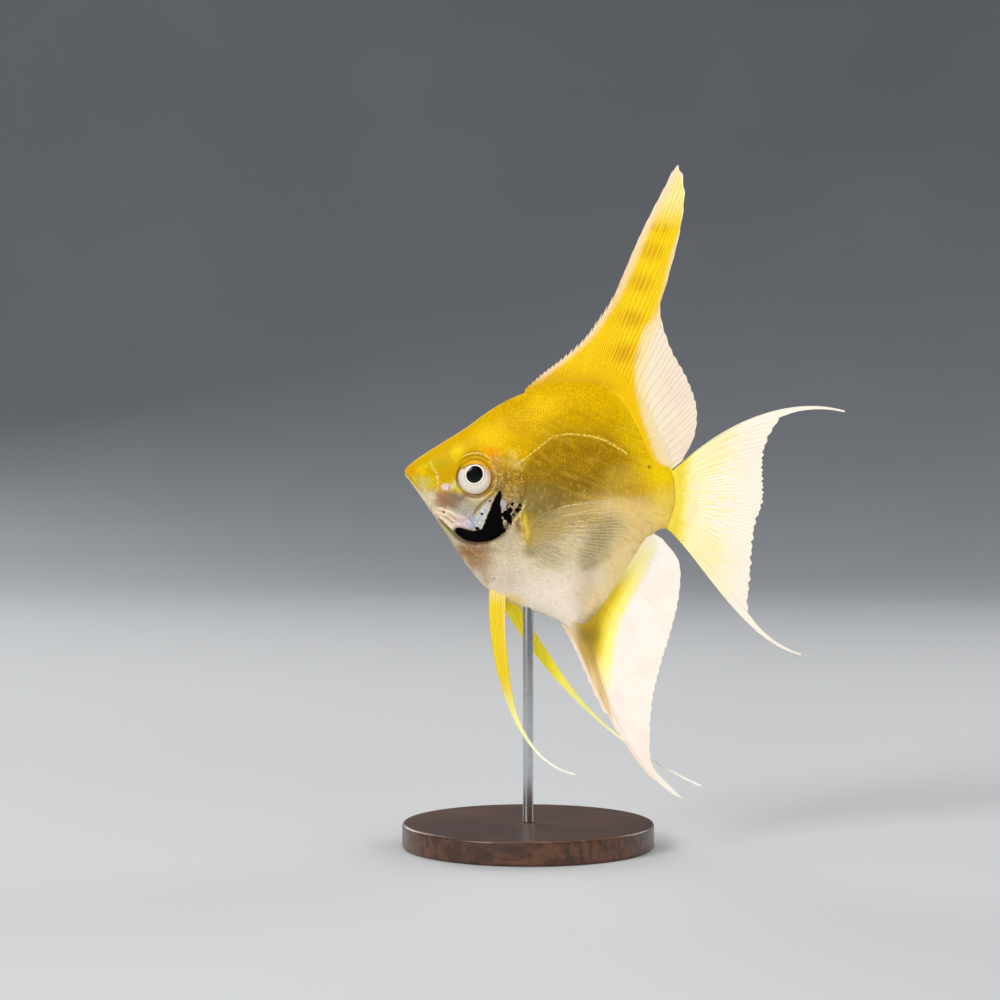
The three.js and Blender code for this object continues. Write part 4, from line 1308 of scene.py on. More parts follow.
# %% Eyeballs
def eyeball(name, node, side):
    turns = 128
    reach = np.concatenate([np.linspace(0, 0.9, 46)[1:], np.linspace(0.9, 1, 14)[1:]])
    phi = np.linspace(0, 2 * math.pi, turns, endpoint=False)
    r, p = crossed(reach * EYE_RADIUS, phi)
    x, z = r * np.cos(p), r * np.sin(p)
    dome = EYE_DEPTH * np.sqrt(np.maximum(1 - (r / EYE_RADIUS) ** 3.4, 0))
    to_pupil = np.hypot(x - PUPIL["x"], z - PUPIL["z"])
    lens = LENS_BULGE * fade_of(to_pupil, PUPIL["radius"] + 0.25, PUPIL["radius"] - 0.9)
    ball_points = np.stack([x, side * (EYE_SIDE + dome + lens), z], 1)
    ends = [[0, side * (EYE_SIDE + EYE_DEPTH + LENS_BULGE), 0], [0, side * (EYE_SIDE - 1.2), 0]]
    middle = STANDARD_LENGTH * np.array([EYE_X, 0, EYE_Z])
    faces = turned_faces(len(reach), turns, len(r), len(r) + 1)
    if side < 0:
        faces = [face[::-1] for face in faces]
    local = np.concatenate([np.stack([x, z, r], 1), [[0, 0, 0], [0, 0, EYE_RADIUS]]])
    points = np.concatenate([ball_points, ends]) + middle
    return piece(name, points, faces, eye_finish, [node], {"eye": local})


eyeball("eyeball_left", "eye_left", -1)
eyeball("eyeball_right", "eye_right", 1)

# %% [markdown]
# ## Fins from rays
# A fin is a fan of rays with a thin membrane between them. A few key rays, each a curve from root
# to tip, give the fan its shape, and the rays between are blended from them. The mesh follows the
# rays, so each ray can stand up as a ridge, split in two towards its end and leave a small tooth at
# the margin. A fin is a closed thin solid, thick and scaly at its root.


# %% Fans and ribbons
def shares(v):
    """How much each of the four points of a curve counts at v."""
    return (1 - v) ** 3, 3 * v * (1 - v) ** 2, 3 * v * v * (1 - v), v**3


def fan(keys):
    """A fan through key rays (u, root, tip, two handles): (u across, v along) gives x and z."""
    at = [key[0] for key in keys]
    curves = []
    for _, start, tip, *handles in keys:
        start, tip = np.array(start), np.array(tip)
        handles = handles or [start + (tip - start) / 3, start + (tip - start) * 2 / 3]
        curves.append([start, *handles, tip])
    lines = [[smooth([(u, c[n][k]) for u, c in zip(at, curves)]) for k in (0, 1)] for n in range(4)]

    def place(u, v):
        return [sum(s * lines[n][k](u) for n, s in enumerate(shares(v))) for k in (0, 1)]

    return place


def ribbon(points, width, side=1):
    """A ribbon beside a leading ray, as wide as width(v) towards its trailing side."""
    p = np.array(points, float)
    wide = smooth(width)

    def place(u, v):
        v = np.asarray(v)[..., None]
        at = sum(s * point for s, point in zip(shares(v), p))
        way = (1 - v) ** 2 * (p[1] - p[0]) + 2 * v * (1 - v) * (p[2] - p[1]) + v * v * (p[3] - p[2])
        way = unit(way)
        off = side * u * wide(v[..., 0])
        return at[..., 0] - off * way[..., 1], at[..., 1] + off * way[..., 0]

    return place


def zones(*parts):
    """Columns across a fin: for each zone its last u, its rays, columns a ray, and if soft."""
    u, phase, soft, start = [], [], [], 0.0
    for end, rays, each, is_soft in parts:
        count = rays * each
        u.append(start + (end - start) * np.arange(count) / count)
        phase.append(np.arange(count) / each)
        soft.append(np.full(count, float(is_soft)))
        start = end
    u.append([start])
    phase.append([float(parts[-1][1])])
    soft.append([float(parts[-1][3])])
    return np.concatenate(u), np.concatenate(phase), np.concatenate(soft)


straight = fan([(0, (0, 0), (0, 1)), (1, (1, 0), (1, 1))])
print("the middle of a square fan:", [float(v) for v in straight(0.5, 0.5)])

# %% [markdown]
# ## From a fan to a thin solid
# The fan says where each ray runs. A plate gives it thickness: two sheets of points, a little apart
# at a ray, less between two rays, much more at the scaly root, and a rim of faces that joins them.

# %% Plates
MEMBRANE = 0.24  # thickness between the rays, mm
RAY_RIDGE = 0.4  # what a ray adds to it, mm
SHEATH = 2.6  # thickness of the two middle fins and the tail fin at their roots, mm
ROOT_FADE = 5  # how fast a fin thins out from its root


def ray_ridge(phase, v, soft):
    """Height of the nearest ray, 0 to 1; a soft ray splits in two on its way out."""
    off = phase - np.rint(phase)
    split = 0.25 * soft * fade_of(v, 0.3, 0.85)
    width = 0.12 + 0.05 * (1 - soft)
    return np.maximum(hill(off - split, width), hill(off + split, width))


def outward_faces(points, faces):
    """Quads turned so that a closed body has a positive volume."""
    a, b, c, d = (points[faces[:, k]] for k in range(4))
    volume = (a * (np.cross(b, c) + np.cross(c, d))).sum()
    return faces if volume > 0 else faces[:, ::-1]


def plate(place, sway, columns_, rows_, end, sheath, ray_height=RAY_RIDGE, membrane=MEMBRANE):
    """A fin as a closed thin solid: its points, faces and stored values."""
    u, phase, soft = columns_
    v = np.linspace(0, 1, rows_ + 1)
    uu, vv = np.meshgrid(u, v, indexing="ij")
    pp, ss = phase[:, None] + 0 * vv, soft[:, None] + 0 * vv
    along = vv * end(pp, ss)
    x, z = place(uu, along)
    ridge = ray_ridge(pp, along, ss)
    thick = membrane + ray_height * ridge * (1 - 0.55 * along)
    thick = thick * (1 - 0.45 * fade_of(vv, 0.93, 1))
    thick = thick + (sheath - membrane) * np.exp(-ROOT_FADE * along)
    y = sway(x, z, uu, along)
    sides = [
        np.stack([STANDARD_LENGTH * x, y + side * thick / 2, STANDARD_LENGTH * z], -1)
        for side in (-1, 1)
    ]
    points = np.concatenate(sides).reshape(-1, 3)
    width, depth = len(u), len(v)
    size = width * depth
    sheet = grid_faces(width, depth)
    rim = np.concatenate([
        np.arange(depth), np.arange(1, width) * depth + depth - 1,
        (width - 1) * depth + np.arange(depth - 2, -1, -1), np.arange(width - 2, 0, -1) * depth,
    ])
    next_rim = np.roll(rim, -1)
    edge = np.stack([rim, next_rim, next_rim + size, rim + size], 1)
    faces = np.concatenate([sheet, sheet[:, ::-1] + size, edge[:, ::-1]])
    stored_ray = np.stack([ridge.ravel(), along.ravel(), ss.ravel()], 1)
    stored_fan = np.stack([pp.ravel(), uu.ravel(), 0 * ss.ravel()], 1)
    values = {"ray": np.tile(stored_ray, (2, 1)), "fan": np.tile(stored_fan, (2, 1))}
    return points, outward_faces(points, faces), values


def joined(*parts):
    """Several plates as one mesh."""
    points, faces, values, count = [], [], {}, 0
    for part_points, part_faces, part_values in parts:
        points.append(part_points)
        faces.append(part_faces + count)
        count += len(part_points)
        for key, value in part_values.items():
            values.setdefault(key, []).append(value)
    values = {key: np.concatenate(rows) for key, rows in values.items()}
    return np.concatenate(points), np.concatenate(faces), values


ROOT_INSET = 0.03


def on_back(x):
    return x, float(back_line(x)) - ROOT_INSET


def on_belly(x):
    return x, float(belly_line(x)) + ROOT_INSET


def beyond(value, edge):
    return np.maximum(value - edge, 0)


print(f"{MEMBRANE} mm thick between the rays, {MEMBRANE + RAY_RIDGE:.2f} mm on one")

# %% [markdown]
# ## Finish of the fins
# The gold fish's fins are cream to pinkish white and lightly pearly, with the rays drawn in pale
# yellow. The front of the dorsal lobe and the root of the anal fin are as yellow as the back. The
# stored distances say how far a place lies from the edge of that yellow.


# %% Fin colours
def fin_lines(paint):
    """Place on the fish and on the fin, the shade beside a ray, and a vector along the rays."""
    place, (x, z, _) = stored(paint, "place")
    _, (ridge, along, soft) = stored(paint, "ray")
    _, (phase, u, _) = stored(paint, "fan")
    beside = fade(ridge, 0.35, 0.1) * fade(ridge, 0.0, 0.06)
    sockets = {"X": phase, "Y": along * 1.6, "Z": soft * 7}
    rays = along.node("ShaderNodeCombineXYZ", None, sockets)
    return (place, x, z), (ridge, along, u), beside, rays


FIN_LIGHT = {
    "Subsurface_Weight": 0.12, "Subsurface_Radius": (0.0015, 0.001, 0.0006), "Coat_Weight": 0.02,
    "Coat_Roughness": 0.25, "Specular_IOR_Level": 0.12,
}


def fin_surface(colour, ridge, rays, place):
    joint = noise(rays, 9, 1, (0.2, 6, 1))
    fine = noise(place, 140, 2)
    return {
        "Base Color": colour,
        "Roughness": 0.42 - ridge * 0.08 + fine * 0.1,
        "Normal": bump(joint * ridge + fine * 0.5, 0.00005, 0.5),
    }
print("shared by the fins:", ", ".join(FIN_LIGHT))

# %% Dorsal fin colours
DORSAL_BANDS = [  # middle and size of the darker bars
    ((0.752, 0.49), (0.06, 0.035)), ((0.757, 0.615), (0.05, 0.03)),
    ((0.782, 0.742), (0.04, 0.03)), ((0.812, 0.86), (0.035, 0.028)),
    ((0.828, 0.945), (0.03, 0.02)), ((0.65, 0.365), (0.08, 0.022)),
]


def build_dorsal(paint):
    (place, x, z), (ridge, along, _), beside, rays = fin_lines(paint)
    _, (gold_side, front, _) = stored(paint, "zone")
    streak = noise(rays, 2.2, 3, (0.9, 0.6, 1))
    cloud = noise(place, 9, 3)
    colour = layers(
        (238, 222, 198),
        ((236, 214, 196), fade(cloud, 0.4, 0.65) * 0.7),
        ((240, 222, 160), ridge * 0.55 * fade(along, 1.0, 0.2)),
        ((196, 178, 160), beside * 0.35),
    )
    yellow = layers(
        (236, 198, 10),
        ((236, 190, 4), fade(z, 0.62, 0.36)),
        ((250, 214, 12), fade(streak, 0.5, 0.72) * 0.6 * fade(along, 0.05, 0.2)),
        ((214, 166, 6), fade(z, 0.45, 0.37) * fade(x, 0.74, 0.64) * 0.85),
    )
    bands = [spot(place, at, size, 0.7) for at, size in DORSAL_BANDS]
    bands = functools.reduce(lambda one, other: one.math("MAXIMUM", one, other), bands)
    yellow = layers(
        yellow,
        ((208, 156, 8), bands * fade(streak, 0.32, 0.6) * 0.85),
        ((236, 226, 140), fade(z, 0.93, 1.06)),
        ((214, 160, 20), ridge * 0.14 * fade(along, 0.08, 0.35)),
    )
    wander = gold_side + (streak - 0.5) * 2.6
    colour = layers(
        colour,
        ((238, 212, 130), fade(wander, -5.0, -0.4) * 0.65),
        (yellow, fade(wander, -1.0, 1.2)),
    )
    strip = fade(front + (streak - 0.5) * 1.2, 3.2, 0.8) * fade(z, 0.34, 0.4)
    colour = layers(
        colour,
        ((241, 211, 176), strip * 0.85),
        ((250, 238, 220), fade(along, 0.965, 1.0) * 0.6),
    )
    return fin_surface(colour, ridge, rays, place)


dorsal_finish = finish("dorsal_finish", build_dorsal, **FIN_LIGHT)


# %% Anal fin colours
def build_anal(paint):
    (place, _, z), (ridge, _, _), beside, rays = fin_lines(paint)
    _, (gold_side, front, tan_side) = stored(paint, "zone")
    streak = noise(rays, 2.2, 3, (0.9, 0.6, 1))
    cloud = noise(place, 8, 3)
    colour = layers(
        (247, 237, 227),
        ((244, 222, 212), fade(cloud, 0.42, 0.68) * 0.6),
        ((249, 240, 212), ridge * 0.4),
        ((214, 198, 184), beside * 0.12),
    )
    side = gold_side + (streak - 0.5) * 1.4
    yellow = layers(
        (253, 242, 128),
        ((242, 216, 62), fade(side, 2.4, 4.4)),
        ((206, 176, 42), fade(side, 4.2, 6.2)),
        ((246, 232, 176), fade(z, -0.37, -0.22) * 0.75),
        ((250, 238, 170), fade(z, -0.54, -0.7)),
    )
    inner = fade(side, -0.6, 2.0) * fade(z, -0.82, -0.62) * fade(z, -0.1, -0.24)
    colour = over(colour, yellow, inner)
    tan = layers(
        (222, 190, 132),
        ((176, 136, 66), fade(streak, 0.46, 0.64) * fade(z, -0.84, -0.62) * 0.8),
        ((224, 202, 166), fade(z, -0.58, -0.5) * fade(tan_side, -1, -3.4)),
    )
    colour = layers(
        colour,
        (tan, fade(tan_side + (streak - 0.5) * 2, 1.4, -0.2) * fade(z, -0.92, -0.8) * 0.9),
        # painted shade: two dark spots in the corner where the fin meets the belly
        ((178, 146, 52), spot(place, (0.718, -0.56), (0.034, 0.06), 0.8) * 0.8),
        ((136, 110, 32), spot(place, (0.707, -0.505), (0.034, 0.036), 0.8) * 0.85),
    )
    # painted shade: an olive band on the fin's root along the body's rear edge, where fin and body
    # meet
    olive = fade(side, 6.0, 7.6) * fade(z, -0.53, -0.48) * fade(z, -0.36, -0.42)
    olive = olive * fade(tan_side, -1.5, 0.5)
    colour = layers(
        colour,
        ((172, 144, 30), olive * 0.8),
        ((246, 224, 206), fade(front, 1.8, 0.6) * fade(z, -0.5, -0.56) * 0.9),
    )
    return fin_surface(colour, ridge, rays, place)


anal_finish = finish("anal_finish", build_anal, **FIN_LIGHT)


# %% Tail and pelvic fin colours
def build_tail(paint):
    (place, x, z), (ridge, _, _), beside, rays = fin_lines(paint)
    streak = noise(rays, 1.7, 3, (0.8, 0.9, 1))
    dash = noise(rays, 2.4, 2, (1.1, 2.2, 1))
    cloud = noise(place, 8, 2)
    edge = fade(abs(z + 0.01) - (x - 0.96) * 0.62, -0.02, 0.06)
    colour = layers(
        (251, 241, 226),
        ((248, 232, 220), fade(cloud, 0.45, 0.7) * 0.5),
        ((244, 232, 200), ridge * 0.5),
        ((206, 190, 170), beside * 0.3),
        ((242, 232, 120), fade(dash, 0.52, 0.62) * fade(x, 1.24, 1.12) * 0.7),
        ((246, 234, 160), fade(streak, 0.44, 0.6) * fade(x, 1.2, 1.04) * 0.6),
        ((245, 229, 156), edge * fade(x, 1.24, 1.08) * 0.55),
        ((251, 239, 184), fade(x + (streak - 0.5) * 0.12, 1.12, 1.02) * 0.7),
        ((249, 231, 110), fade(x + (streak - 0.5) * 0.05, 1.04, 0.992)),
        ((238, 212, 70), fade(x + (streak - 0.5) * 0.05, 1.018, 0.978)),
    )
    return fin_surface(colour, ridge, rays, place)


def build_pelvic(paint):
    (place, _, _), (ridge, along, u), _, rays = fin_lines(paint)
    _, (_, _, y) = stored(paint, "place")
    streak = noise(rays, 2.0, 3, (1, 0.5, 1))
    colour = layers(
        (232, 202, 32),
        ((222, 182, 40), fade(streak, 0.42, 0.66) * 0.7),
        ((240, 226, 80), ridge * 0.4),
        # painted light: the far fin, on the side where y is above 0, is made paler to offset the
        # body's shadow on it
        ((255, 240, 62), fade(y, -0.01, 0.01) * 0.8),
        ((246, 208, 160), fade(u, 0.82, 0.98) * fade(along, 0.34, 0.2) * 0.6),
        ((248, 246, 170), fade(along, 0.36, 0.62)),
        ((250, 248, 236), fade(along, 0.58, 0.85)),
        ((234, 206, 130), fade(along, 0.08, 0.02) * 0.8),
    )
    return fin_surface(colour, ridge, rays, place)


tail_finish = finish("tail_finish", build_tail, **FIN_LIGHT)
pelvic_finish = finish("pelvic_finish", build_pelvic, **FIN_LIGHT)

# %% [markdown]
# ## Dorsal and anal fins
# Both middle fins start with hard spines, whose tips stand out as teeth, and go on with soft rays
# that fork. The longest rays make the tall lobe above and the trailing point below.

# %% Rays of the dorsal and anal fins
SPINE_TEETH = {"dorsal": 0.12, "anal": 0.07}  # fall of the margin between spines, of their length
SOFT_TEETH = 0.014  # the same between soft rays


def toothed(depth):
    """How far each column reaches along its ray: the membrane falls back between two rays."""
    def end(phase, soft):
        return 1 - np.where(soft > 0.5, SOFT_TEETH, depth) * np.sin(math.pi * phase) ** 2
    return end


DORSAL_RAYS = [  # place across the fin, where it leaves the back, tip, handles
    (0, 0.4, (0.407, 0.337)), (0.13, 0.445, (0.467, 0.4)), (0.25, 0.49, (0.527, 0.455)),
    (0.36, 0.54, (0.597, 0.53)), (0.46, 0.58, (0.65, 0.617)), (0.54, 0.61, (0.7, 0.72)),
    (0.6, 0.64, (0.766, 0.92)), (0.64, 0.66, (0.829, 1.08)), (0.67, 0.675, (0.872, 1.171)),
    (0.7, 0.69, (0.906, 1.077)), (0.73, 0.71, (0.901, 0.924)), (0.76, 0.735, (0.875, 0.761)),
    (0.79, 0.76, (0.859, 0.659)), (0.83, 0.795, (0.905, 0.532)), (0.88, 0.835, (0.973, 0.428)),
    (0.93, 0.87, (1.018, 0.328)), (0.97, 0.9, (1.021, 0.224)), (1, 0.93, (0.985, 0.13)),
]
ANAL_RAYS = [
    (0, 0.605, (0.614, -0.494)), (0.12, 0.632, (0.662, -0.564)), (0.24, 0.655, (0.712, -0.654)),
    (0.34, 0.675, (0.776, -0.764)), (0.42, 0.69, (0.866, -0.872)),
    (0.48, 0.7, (0.972, -0.988), (0.745, -0.68), (0.875, -0.88)),
    (0.52, 0.708, (1.1, -1.056), (0.76, -0.69), (0.94, -1.02)),
    (0.56, 0.716, (0.989, -0.963), (0.79, -0.68), (0.91, -0.86)), (0.61, 0.727, (0.963, -0.851)),
    (0.68, 0.742, (0.96, -0.72)), (0.76, 0.768, (0.978, -0.59)), (0.84, 0.803, (1.004, -0.461)),
    (0.91, 0.842, (1.019, -0.334)), (0.96, 0.872, (1.006, -0.224)), (1, 0.895, (0.941, -0.15)),
]
dorsal_place = fan([(u, on_back(x), *rest) for u, x, *rest in DORSAL_RAYS])
anal_place = fan([(u, on_belly(x), *rest) for u, x, *rest in ANAL_RAYS])


def margin(keys):
    """The (z, x) places of some rays' tips, as a line to measure from."""
    return [tip[::-1] for _, _, tip, *_ in keys]


def dorsal_sway(x, z, u, v):
    return 6 * beyond(z, 0.42) ** 1.5 + 0.5 * np.sin(14 * x) * beyond(z, 0.4)


def anal_sway(x, z, u, v):
    return -7 * beyond(-z, 0.5) ** 1.5 - 0.8 * np.sin(9 * z) * beyond(x, 0.8)
print("key rays:", len(DORSAL_RAYS), "above,", len(ANAL_RAYS), "below")

# %% Edges of the yellow
dorsal_edge = smooth([
    (0.1, 0.952), (0.119, 0.907), (0.194, 0.868), (0.28, 0.829), (0.373, 0.803), (0.446, 0.79),
    (0.5, 0.797), (0.577, 0.81), (0.63, 0.842), (0.68, 0.856), (0.76, 0.87), (0.9, 0.892),
    (1.1, 0.94),
])
dorsal_front = smooth([(0.3, 0.36), *margin(DORSAL_RAYS[:9])])
anal_edge_line = smooth([
    (-1.1, 0.83), (-0.8, 0.815), (-0.704, 0.81), (-0.614, 0.812), (-0.542, 0.812), (-0.465, 0.823),
    (-0.376, 0.854), (-0.301, 0.89), (-0.228, 0.912), (-0.1, 0.95),
])
anal_tan_line = smooth([
    (-1.05, 0.95), (-0.877, 0.85), (-0.808, 0.822), (-0.739, 0.794), (-0.67, 0.767), (-0.585, 0.73),
    (-0.516, 0.699), (-0.4, 0.66),
])
anal_front = smooth([(-1.056, 1.06), *margin(ANAL_RAYS[5::-1]), (-0.4, 0.56)])
print(f"half way up, the yellow ends at x = {float(dorsal_edge(0.6)):.3f}")


# %% Dorsal and anal fins
def zone_values(points, edge, front, third=None):
    """Distances in mm along x to the edge of the yellow, to the fin's front and to a third line."""
    x, z = points[:, 0] / STANDARD_LENGTH, points[:, 2] / STANDARD_LENGTH
    third_value = x - third(z) if third else 0 * x
    return STANDARD_LENGTH * np.stack([edge(z) - x, x - front(z), third_value], 1)


def dorsal_zone(points):
    return zone_values(points, dorsal_edge, dorsal_front)


def anal_zone(points):
    return zone_values(points, anal_edge_line, anal_front, anal_tan_line)


dorsal_columns = zones((0.55, 20, 8, False), (1, 30, 8, True))
anal_columns = zones((0.4, 9, 10, False), (1, 30, 8, True))
for name, place, sway, across, material, zone in [
    ("dorsal", dorsal_place, dorsal_sway, dorsal_columns, dorsal_finish, dorsal_zone),
    ("anal", anal_place, anal_sway, anal_columns, anal_finish, anal_zone),
]:
    points, faces, values = plate(place, sway, across, 64, toothed(SPINE_TEETH[name]), SHEATH)
    values["zone"] = zone(points)
    piece(f"fin_{name}", points, faces, material, [f"{name}_fin"], values)

# %% [markdown]
# ## Scales on the fin roots
# The body's scales climb on to the roots of the middle fins, getting smaller until bare rays take
# over. These follow the rays, carry the fin's own stored values and so take on the fin's colours.

# %% Scales on the fin roots
SMALL_STEP, SMALL_ROW = 0.82, 0.62  # distance between small scales and between their rows, mm
NEAR_ROOT = 0.08  # share of a ray over which its heading at the root is measured


def root_scales(name, fin, columns_, zone, seed, first=-0.4, reach=5.5, u_from=0.0):
    """Small scales on both sides of a fin from first mm to reach mm along its rays."""
    place, sway, material = fin
    chance = np.random.default_rng(seed)
    u_line = np.linspace(0.012, 0.985, 400)
    way = STANDARD_LENGTH * np.stack(place(u_line, 0.03 + 0 * u_line), 1)
    length = np.concatenate([[0], np.cumsum(np.hypot(*np.diff(way, axis=0).T))])
    steps = np.arange(0, length[-1], SMALL_STEP)
    rows_ = np.arange(first, reach, SMALL_ROW)
    far, step = crossed(rows_, steps)
    number = np.repeat(np.arange(len(rows_)), len(steps))
    u = np.interp(step + 0.5 * SMALL_STEP * (number % 2), length, u_line)

    # where each scale is rooted and which way it points
    before, after = (np.stack(place(u, v + 0 * u), 1) for v in (0.0, NEAR_ROOT))
    ray_mm = STANDARD_LENGTH * np.hypot(*(after - before).T) / NEAR_ROOT
    v = far / ray_mm
    heading = unit(after - before)
    at = STANDARD_LENGTH * np.stack(place(u, np.maximum(v, 0)), 1)
    at += heading * np.minimum(far, 0)[:, None]
    share = np.clip((far - first) / (reach - first), 0, 1)
    heading = unit(heading + (1 - share)[:, None] * (0.5, 0))
    keep = (chance.random(len(u)) > fade_of(share, 0.75, 1.1)) & (v < 0.3) & (u > u_from)
    u, v, at, heading, share, number, ray_mm = (
        w[keep] for w in (u, v, at, heading, share, number, ray_mm)
    )

    # the template, smaller towards the bare rays, laid on both sides of the fin
    size = (1 - 0.5 * share)[:, None]
    along, across = size * (1.75 * a * (1 - 0.2 * b * b) - 0.3), size * 0.6 * b * width
    x = at[:, :1] + heading[:, :1] * along - heading[:, 1:] * across
    z = at[:, 1:] + heading[:, 1:] * along + heading[:, :1] * across
    v_here = np.maximum(v[:, None] + along / ray_mm[:, None], 0)
    half = (MEMBRANE + (SHEATH - MEMBRANE) * np.exp(-ROOT_FADE * v_here)) / 2 + 0.1
    lift = size * np.where(lip, 0.0, 0.02 + 0.15 * a**1.4 - 0.05 * b * b)
    middle = sway(x / STANDARD_LENGTH, z / STANDARD_LENGTH, u[:, None], v_here)
    points = np.concatenate([
        np.stack([x, middle + side * (half + lift), z], -1).reshape(-1, 3) for side in (-1, 1)
    ])
    faces = shingles(len(u))
    faces = np.concatenate([faces, faces[:, ::-1] + x.size])

    zeros = np.zeros(len(points))
    u_here = np.tile(np.repeat(u, len(a)), 2)
    phase, soft = (np.interp(u_here, columns_[0], column) for column in columns_[1:])
    values = {
        "ray": np.stack([zeros + 0.3, np.tile(v_here.ravel(), 2), soft], 1),
        "fan": np.stack([phase, u_here, zeros], 1),
        "zone": zone(points),
    }
    made = piece(name, points, faces, material, (), values)
    down = number / len(rows_)
    corner = [unwrap(u, down, right)[:, None] + template_map for right in (0, 1)]
    bake_map(made, np.concatenate(corner).reshape(-1, 2)[faces.ravel()])


dorsal_fin = (dorsal_place, dorsal_sway, dorsal_finish)
anal_fin = (anal_place, anal_sway, anal_finish)
root_scales("scales_dorsal_root", dorsal_fin, dorsal_columns, dorsal_zone, 21)
root_scales("scales_anal_root", anal_fin, anal_columns, anal_zone, 22, u_from=0.2)

# %% [markdown]
# ## Tail fin
# The tail is a broad fan between two strong outer rays, which run on as filaments. The filaments
# are ribbons of their own, laid along the fan's upper and lower edges and joined into the same
# piece.

# %% Tail fin
tail_place = fan([
    (0, (0.955, 0.088), (1.338, 0.34), (1.05, 0.2), (1.19, 0.305)),
    (0.06, (0.96, 0.075), (1.292, 0.266), (1.06, 0.172), (1.2, 0.258)),
    (0.16, (0.966, 0.06), (1.27, 0.183)),
    (0.5, (0.975, -0.006), (1.283, 0.012)),
    (0.62, (0.974, -0.035), (1.263, -0.079)),
    (0.84, (0.966, -0.075), (1.264, -0.273)),
    (0.95, (0.96, -0.095), (1.268, -0.383), (1.06, -0.17), (1.19, -0.32)),
    (1, (0.955, -0.108), (1.313, -0.455), (1.05, -0.165), (1.17, -0.345)),
])
upper_filament = ribbon(
    [(0.955, 0.088), (1.1, 0.27), (1.33, 0.4), (1.537, 0.358)],
    [(0, 0.02), (0.4, 0.03), (0.62, 0.028), (0.72, 0.018), (0.85, 0.011), (1, 0.006)], -1,
)
lower_filament = ribbon(
    [(0.945, -0.108), (1.06, -0.17), (1.25, -0.49), (1.464, -0.516)],
    [(0, 0.02), (0.4, 0.03), (0.62, 0.028), (0.75, 0.015), (0.9, 0.009), (1, 0.006)],
)


def tail_sway(x, z, u, v):
    return 14 * beyond(x, 1) ** 2 - 5 * z * beyond(x, 1.05)


def whole(phase, soft):
    return 1 + 0 * phase


def tail_margin(phase, soft):
    """The rear margin: a small fall between the rays, and a slow wave along it."""
    return 1 - 0.018 * np.sin(math.pi * phase) ** 2 - 0.012 * np.sin(phase * 1.9) ** 2


tail_columns = zones((1, 30, 8, True))
outer_columns = zones((1, 2, 6, False))
points, faces, values = joined(
    plate(tail_place, tail_sway, tail_columns, 56, tail_margin, SHEATH, 0.32, 0.22),
    plate(upper_filament, tail_sway, outer_columns, 90, whole, 1.4, 0.2, 0.36),
    plate(lower_filament, tail_sway, outer_columns, 90, whole, 1.4, 0.2, 0.36),
)
piece("fin_tail", points, faces, tail_finish, ["tail_fin"], values)
tail_fin = (tail_place, tail_sway, tail_finish)
root_scales("scales_tail_root", tail_fin, tail_columns, lambda p: 0 * p, 23, first=0.2, reach=5.8)

# %% [markdown]
# ## Pelvic fins
# The pelvic fins of an angelfish are feelers: a narrow blade of a few rays, of which the first
# grows on into a long white thread. They spread from the breast and turn in again at their tips.

# %% Pelvic fins
PELVIC_WIDTH = [
    (0, 0.06), (0.2, 0.052), (0.34, 0.042), (0.46, 0.028), (0.56, 0.016), (0.72, 0.009), (1, 0.006),
]
left_curve = [(0.345, -0.385), (0.365, -0.64), (0.495, -0.99), (0.714, -1.01)]
right_curve = [(0.35, -0.385), (0.475, -0.61), (0.775, -0.91), (1.153, -1.022)]


def pelvic_sway(side):
    def sway(x, z, u, v):
        spread = 3.4 - 2.2 * np.exp(-v / 0.05) + 11 * v - 9 * v * v
        return side * (spread - 1.2 * u * (1 - v))
    return sway


pelvic_columns = zones((1, 6, 6, False))
for name, curve, side in [("left", left_curve, -1), ("right", right_curve, 1)]:
    place, sway = ribbon(curve, PELVIC_WIDTH), pelvic_sway(side)
    points, faces, values = plate(place, sway, pelvic_columns, 150, whole, 1.5, 0.28, 0.3)
    node = f"pelvic_fin_{name}"
    piece(f"fin_pelvic_{name}", points, faces, pelvic_finish, [node], values)

# %% [markdown]
# ## Pectoral fins
# The fish hovers on its pectoral fins, which are as clear as film. The membrane is made mostly
# see-through with one constant alpha, and the rays are real tapered tubes in it, yellow at the
# root.

# %% Pectoral fins
pectoral_place = fan([
    (0, (0.465, -0.135), (0.78, -0.029), (0.57, -0.06), (0.68, -0.03)),
    (0.15, (0.468, -0.145), (0.829, -0.068)),
    (0.35, (0.471, -0.165), (0.824, -0.128)),
    (0.6, (0.473, -0.185), (0.77, -0.207)),
    (0.8, (0.473, -0.2), (0.692, -0.261)),
    (1, (0.471, -0.215), (0.593, -0.286), (0.505, -0.245), (0.545, -0.272)),
])


def pectoral_sway(side):
    return lambda x, z, u, v: side * (7.0 + 0.2 * STANDARD_LENGTH * (x - 0.465))


def build_film(paint):
    place, _ = stored(paint, "place")
    cloud = noise(place, 20, 2)
    colour = over((226, 214, 160), (244, 236, 210), cloud)
    return {"Base Color": colour, "Roughness": 0.22 + cloud * 0.2}


def build_pectoral_rays(paint):
    place, _ = stored(paint, "place")
    _, (_, along, _) = stored(paint, "ray")
    broken = noise(place, 70, 2)
    colour = layers(
        (220, 196, 110),
        ((222, 206, 156), fade(along, 0.15, 0.6)),
        ((136, 116, 62), fade(broken, 0.5, 0.64) * fade(along, 0.1, 0.3) * 0.7),
        ((232, 196, 20), fade(along, 0.2, 0.05)),
    )
    return {"Base Color": colour, "Roughness": 0.35 + broken * 0.1}
print("pectoral fin: 6 key rays")

# %% Film and rays
film_finish = finish("film_finish", build_film, Alpha=0.06, Coat_Weight=0.2, Coat_Roughness=0.1)
pectoral_ray_finish = finish("pectoral_ray_finish", build_pectoral_rays)
PECTORAL_RAYS = 13


